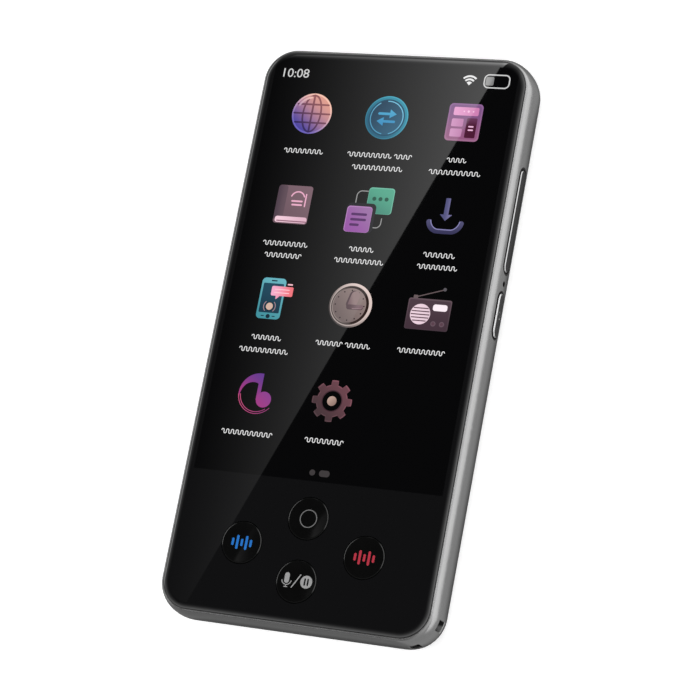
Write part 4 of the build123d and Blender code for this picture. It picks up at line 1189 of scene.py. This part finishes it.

# Polished metal sees painted light and shade on the floor: dim, a little brighter past a first line
# along the right side, which draws in beyond the lower corner, and bright past a second one
floor_dim, floor_near, floor_bright = 0.2, 0.38, 1.2
near_edge, bright_edge = (33.8, 36.6), (42.5, 45.5)
corner_start, corner_lean = -60.0, 0.5
bright_margin = (11.0, 7.0)  # the bright part starts this far beyond the lower end
# the darker floor under the body is a painted shadow that only polished surfaces see
under_shadow_share = 0.65  # under the body the floor is darker by this share
floor_half = 3.0  # in metres
floor_gap = 0.05  # the floor is this far below the back

card_scale = 1.7463  # how much larger the card is than its picture on the glass
card_side, card_foot, card_head = -48.0, -110.0, 340.0
card_slant, card_bend = 0.3885, 68.5  # its slanted edge leans so much, and is upright past here
card_strongest = 7.0
opening = (-0.389, 0.225, 0.893)  # the way from the glass to the tent's dark opening
opening_edge = (0.12, 0.82)  # sines of the angles from there over which its dark ends
low_light, low_slope = 0.65, (0.4, 0.45)  # the tent's light low down, and its growth along x and y
panel_light, panel_slope = 2.3, 1.3  # and that of its panels, and its growth along x
tent_height = (0.35, 0.75)  # the tent is low below the first and high above the second
strip_light, front_light = 5.0, 1.4


def place_camera():
    """The camera looks at the glass from the lower right, rolled so that the body leans."""
    data = bpy.data.cameras.new("camera")
    data.sensor_width = 36.0
    data.lens = focal_length
    data.clip_start = 0.01
    camera = placed("camera", data)
    gaze = (camera_aim - camera_place).normalized()
    level = gaze.cross(Vector((0.0, 0.0, 1.0))).normalized()
    right = level * cos(camera_roll) + level.cross(gaze) * sin(camera_roll)
    turn = Matrix((right, right.cross(gaze), -gaze)).transposed().to_4x4()
    camera.matrix_world = Matrix.Translation(camera_place) @ turn
    bpy.context.scene.camera = camera


def staged_plane(name, corners, material):
    """A flat polygon that isn't part of the object, its corners in metres."""
    mesh = bpy.data.meshes.new(name)
    mesh.from_pydata([tuple(corner) for corner in corners], [], [tuple(range(len(corners)))])
    mesh.materials.append(material)
    plane = placed(name, mesh)
    return plane


def pale_floor():
    """White matt floor. It is whitened for the camera, so that only a soft shadow stays. Polished
    metal sees painted light and shade on it, with a painted shadow under the body, as the values above
    say."""
    made = new_finish("pale_floor")
    x, y, z = made.places()
    mottle = made.noise(60.0)
    matt = made.node("BsdfPrincipled", {
        "Base Color": made.mix(mottle, tone(228), tone(232)),
        "Roughness": mottle * 0.05 + 0.85,
        "Emission Color": made.mix(made.node("LightPath", output="Is Camera Ray"), BLACK, tone(190)),
        "Emission Strength": 1.0,
    })
    # Painted light and shade for polished surfaces: dim, brighter past the lines along the right side
    past_corner = (corner_start - y).most(0.0)
    near = (x + past_corner * corner_lean).rises(*near_edge)
    bright = x.rises(*bright_edge) * y.rises(*(body_low[1] - margin for margin in bright_margin))
    mirrored = near * (floor_near - floor_dim) + bright * (floor_bright - floor_near) + floor_dim
    # Painted shadow under the body, in what polished surfaces see
    under = rounded_mask(x, y, body_low[:2] - (1.5, 4.0), body_high[:2] + 1.5, 15.0, soft=2.0)
    polished = made.node("BsdfPrincipled", {
        "Base Color": BLACK,
        "Emission Color": mirrored * (1.0 - under * under_shadow_share),
        "Emission Strength": 1.0,
    })
    glossy_ray = made.node("LightPath", output="Is Glossy Ray")
    material = made.ends(made.node("MixShader", {0: glossy_ray, 1: matt, 2: polished}))
    signs = ((-1, -1), (1, -1), (1, 1), (-1, 1))
    corners = [(side * floor_half, end * floor_half, -floor_gap * MM) for side, end in signs]
    staged_plane("floor", corners, material)


def on_card(x, y):
    """Where a point of the glass sees the card from the camera, in metres."""
    mirrored = Vector((camera_place.x, camera_place.y, 2 * glass_top * MM - camera_place.z))
    on_glass = Vector((x * MM, y * MM, glass_top * MM))
    return mirrored + (on_glass - mirrored) * card_scale


def wedge_card():
    """A softbox whose slanted edge shows across the glass: its light falls off to the left, and
    past the glass's top end it is at its strongest. Polished surfaces alone see it, and it
    neither lights nor shades anything."""
    made = new_finish("wedge_card")
    x, y, z = made.places()
    dark_end, bright_end = (on_card(end, 0.0).x / MM for end in (-35.0, 25.0))
    share = ((x - dark_end) * (1 / (bright_end - dark_end))).most(0.0)
    top_end = on_card(0.0, 66.0).y / MM
    hot = y.rises(top_end, top_end + 240) * y.rises(top_end + 700, top_end + 400)
    light = share**1.85 * (1.95 / card_strongest) + hot * (share * 3.8 + 2.0) * (1 / card_strongest)
    material = made.principled({
        "Base Color": BLACK,
        "Specular IOR Level": 0.0,
        "Emission Color": light,
        "Emission Strength": card_strongest,
    })
    edge = card_bend * card_slant
    card = staged_plane("wedge_card", [
        on_card(card_side, card_foot),
        on_card(card_foot * card_slant, card_foot),
        on_card(edge, card_bend),
        on_card(edge, card_head),
        on_card(card_side, card_head),
    ], material)
    for ray in ("camera", "diffuse", "shadow", "transmission"):
        setattr(card, "visible_" + ray, False)


def softbox(name, place, size, power):
    """A square area lamp that points at the middle of the object."""
    data = bpy.data.lights.new(name, "AREA")
    data.size = size
    data.energy = power
    lamp = placed(name, data)
    lamp.location = place
    lamp.rotation_euler = (-Vector(place)).to_track_quat("-Z", "Y").to_euler()
    lamp.visible_glossy = False


def studio_world():
    """White behind the object and even light on matt surfaces. Polished ones see a tent that is
    dim low down in front and at the left. It has a dark opening where the flat glass mirrors it,
    with a bright panel at the opening's left and at its right and a soft glow in front of it, and
    a narrow strip far at the left."""
    world = bpy.data.worlds.new("studio")
    bpy.context.scene.world = world
    made = Finish(world)
    across, along, up = made.parts(made.node("TexCoord", output="Generated"))
    low = (across * low_slope[0] + along * low_slope[1] + low_light).most(0.2)
    low = low + across.rises(-0.7, -0.95) * up.rises(0.4, 0.1)
    facing = (across * opening[0] + along * opening[1] + up * opening[2]).least(1.0)
    aside = abs(across - opening[0])
    beyond = abs(along - opening[1])
    panels = (aside / (aside + beyond).most(0.01)).rises(0.4, 0.6) * facing.rises(0.3, 0.6)
    between = facing.rises(0.5, 0.75) * 0.6 + 0.3
    high = (across.most(0.0) * panel_slope + panel_light) * panels + (1.0 - panels) * between
    raised = up.rises(*tent_height)
    tent = low * (1.0 - raised) + high * raised
    strip = across.rises(-0.62, -0.74) * along.rises(-0.1, 0.1)
    tent = tent + strip * up.rises(0.3, 0.38) * up.rises(0.62, 0.52) * strip_light
    front = (opening[1] - along).rises(0.1, 0.5) * facing.rises(0.45, 0.75) * (1.0 - panels)
    tent = tent + front * front_light
    away = (1.0 - facing * facing) ** 0.5
    tent = tent * away.rises(*opening_edge).most(facing.rises(0.0, -0.01))
    matt, mirrored, white = (
        made.node("Background", {"Color": colour, "Strength": 1.0})
        for colour in (tone(172), tent, WHITE)
    )
    glossy_ray = made.node("LightPath", output="Is Glossy Ray")
    camera_ray = made.node("LightPath", output="Is Camera Ray")
    seen = made.node("MixShader", {0: glossy_ray, 1: matt, 2: mirrored})
    made.ends(made.node("MixShader", {0: camera_ray, 1: seen, 2: white}), "OutputWorld")


place_camera()
pale_floor()
wedge_card()
softbox("key_softbox", (0.8, -0.7, 1.3), 0.9, 9.0)
softbox("fill_softbox", (-0.9, -0.5, 1.1), 0.8, 5.0)
softbox("back_softbox", (0.2, 1.3, 1.0), 0.8, 5.0)
studio_world()
bpy.context.scene.view_settings.view_transform = "Standard"
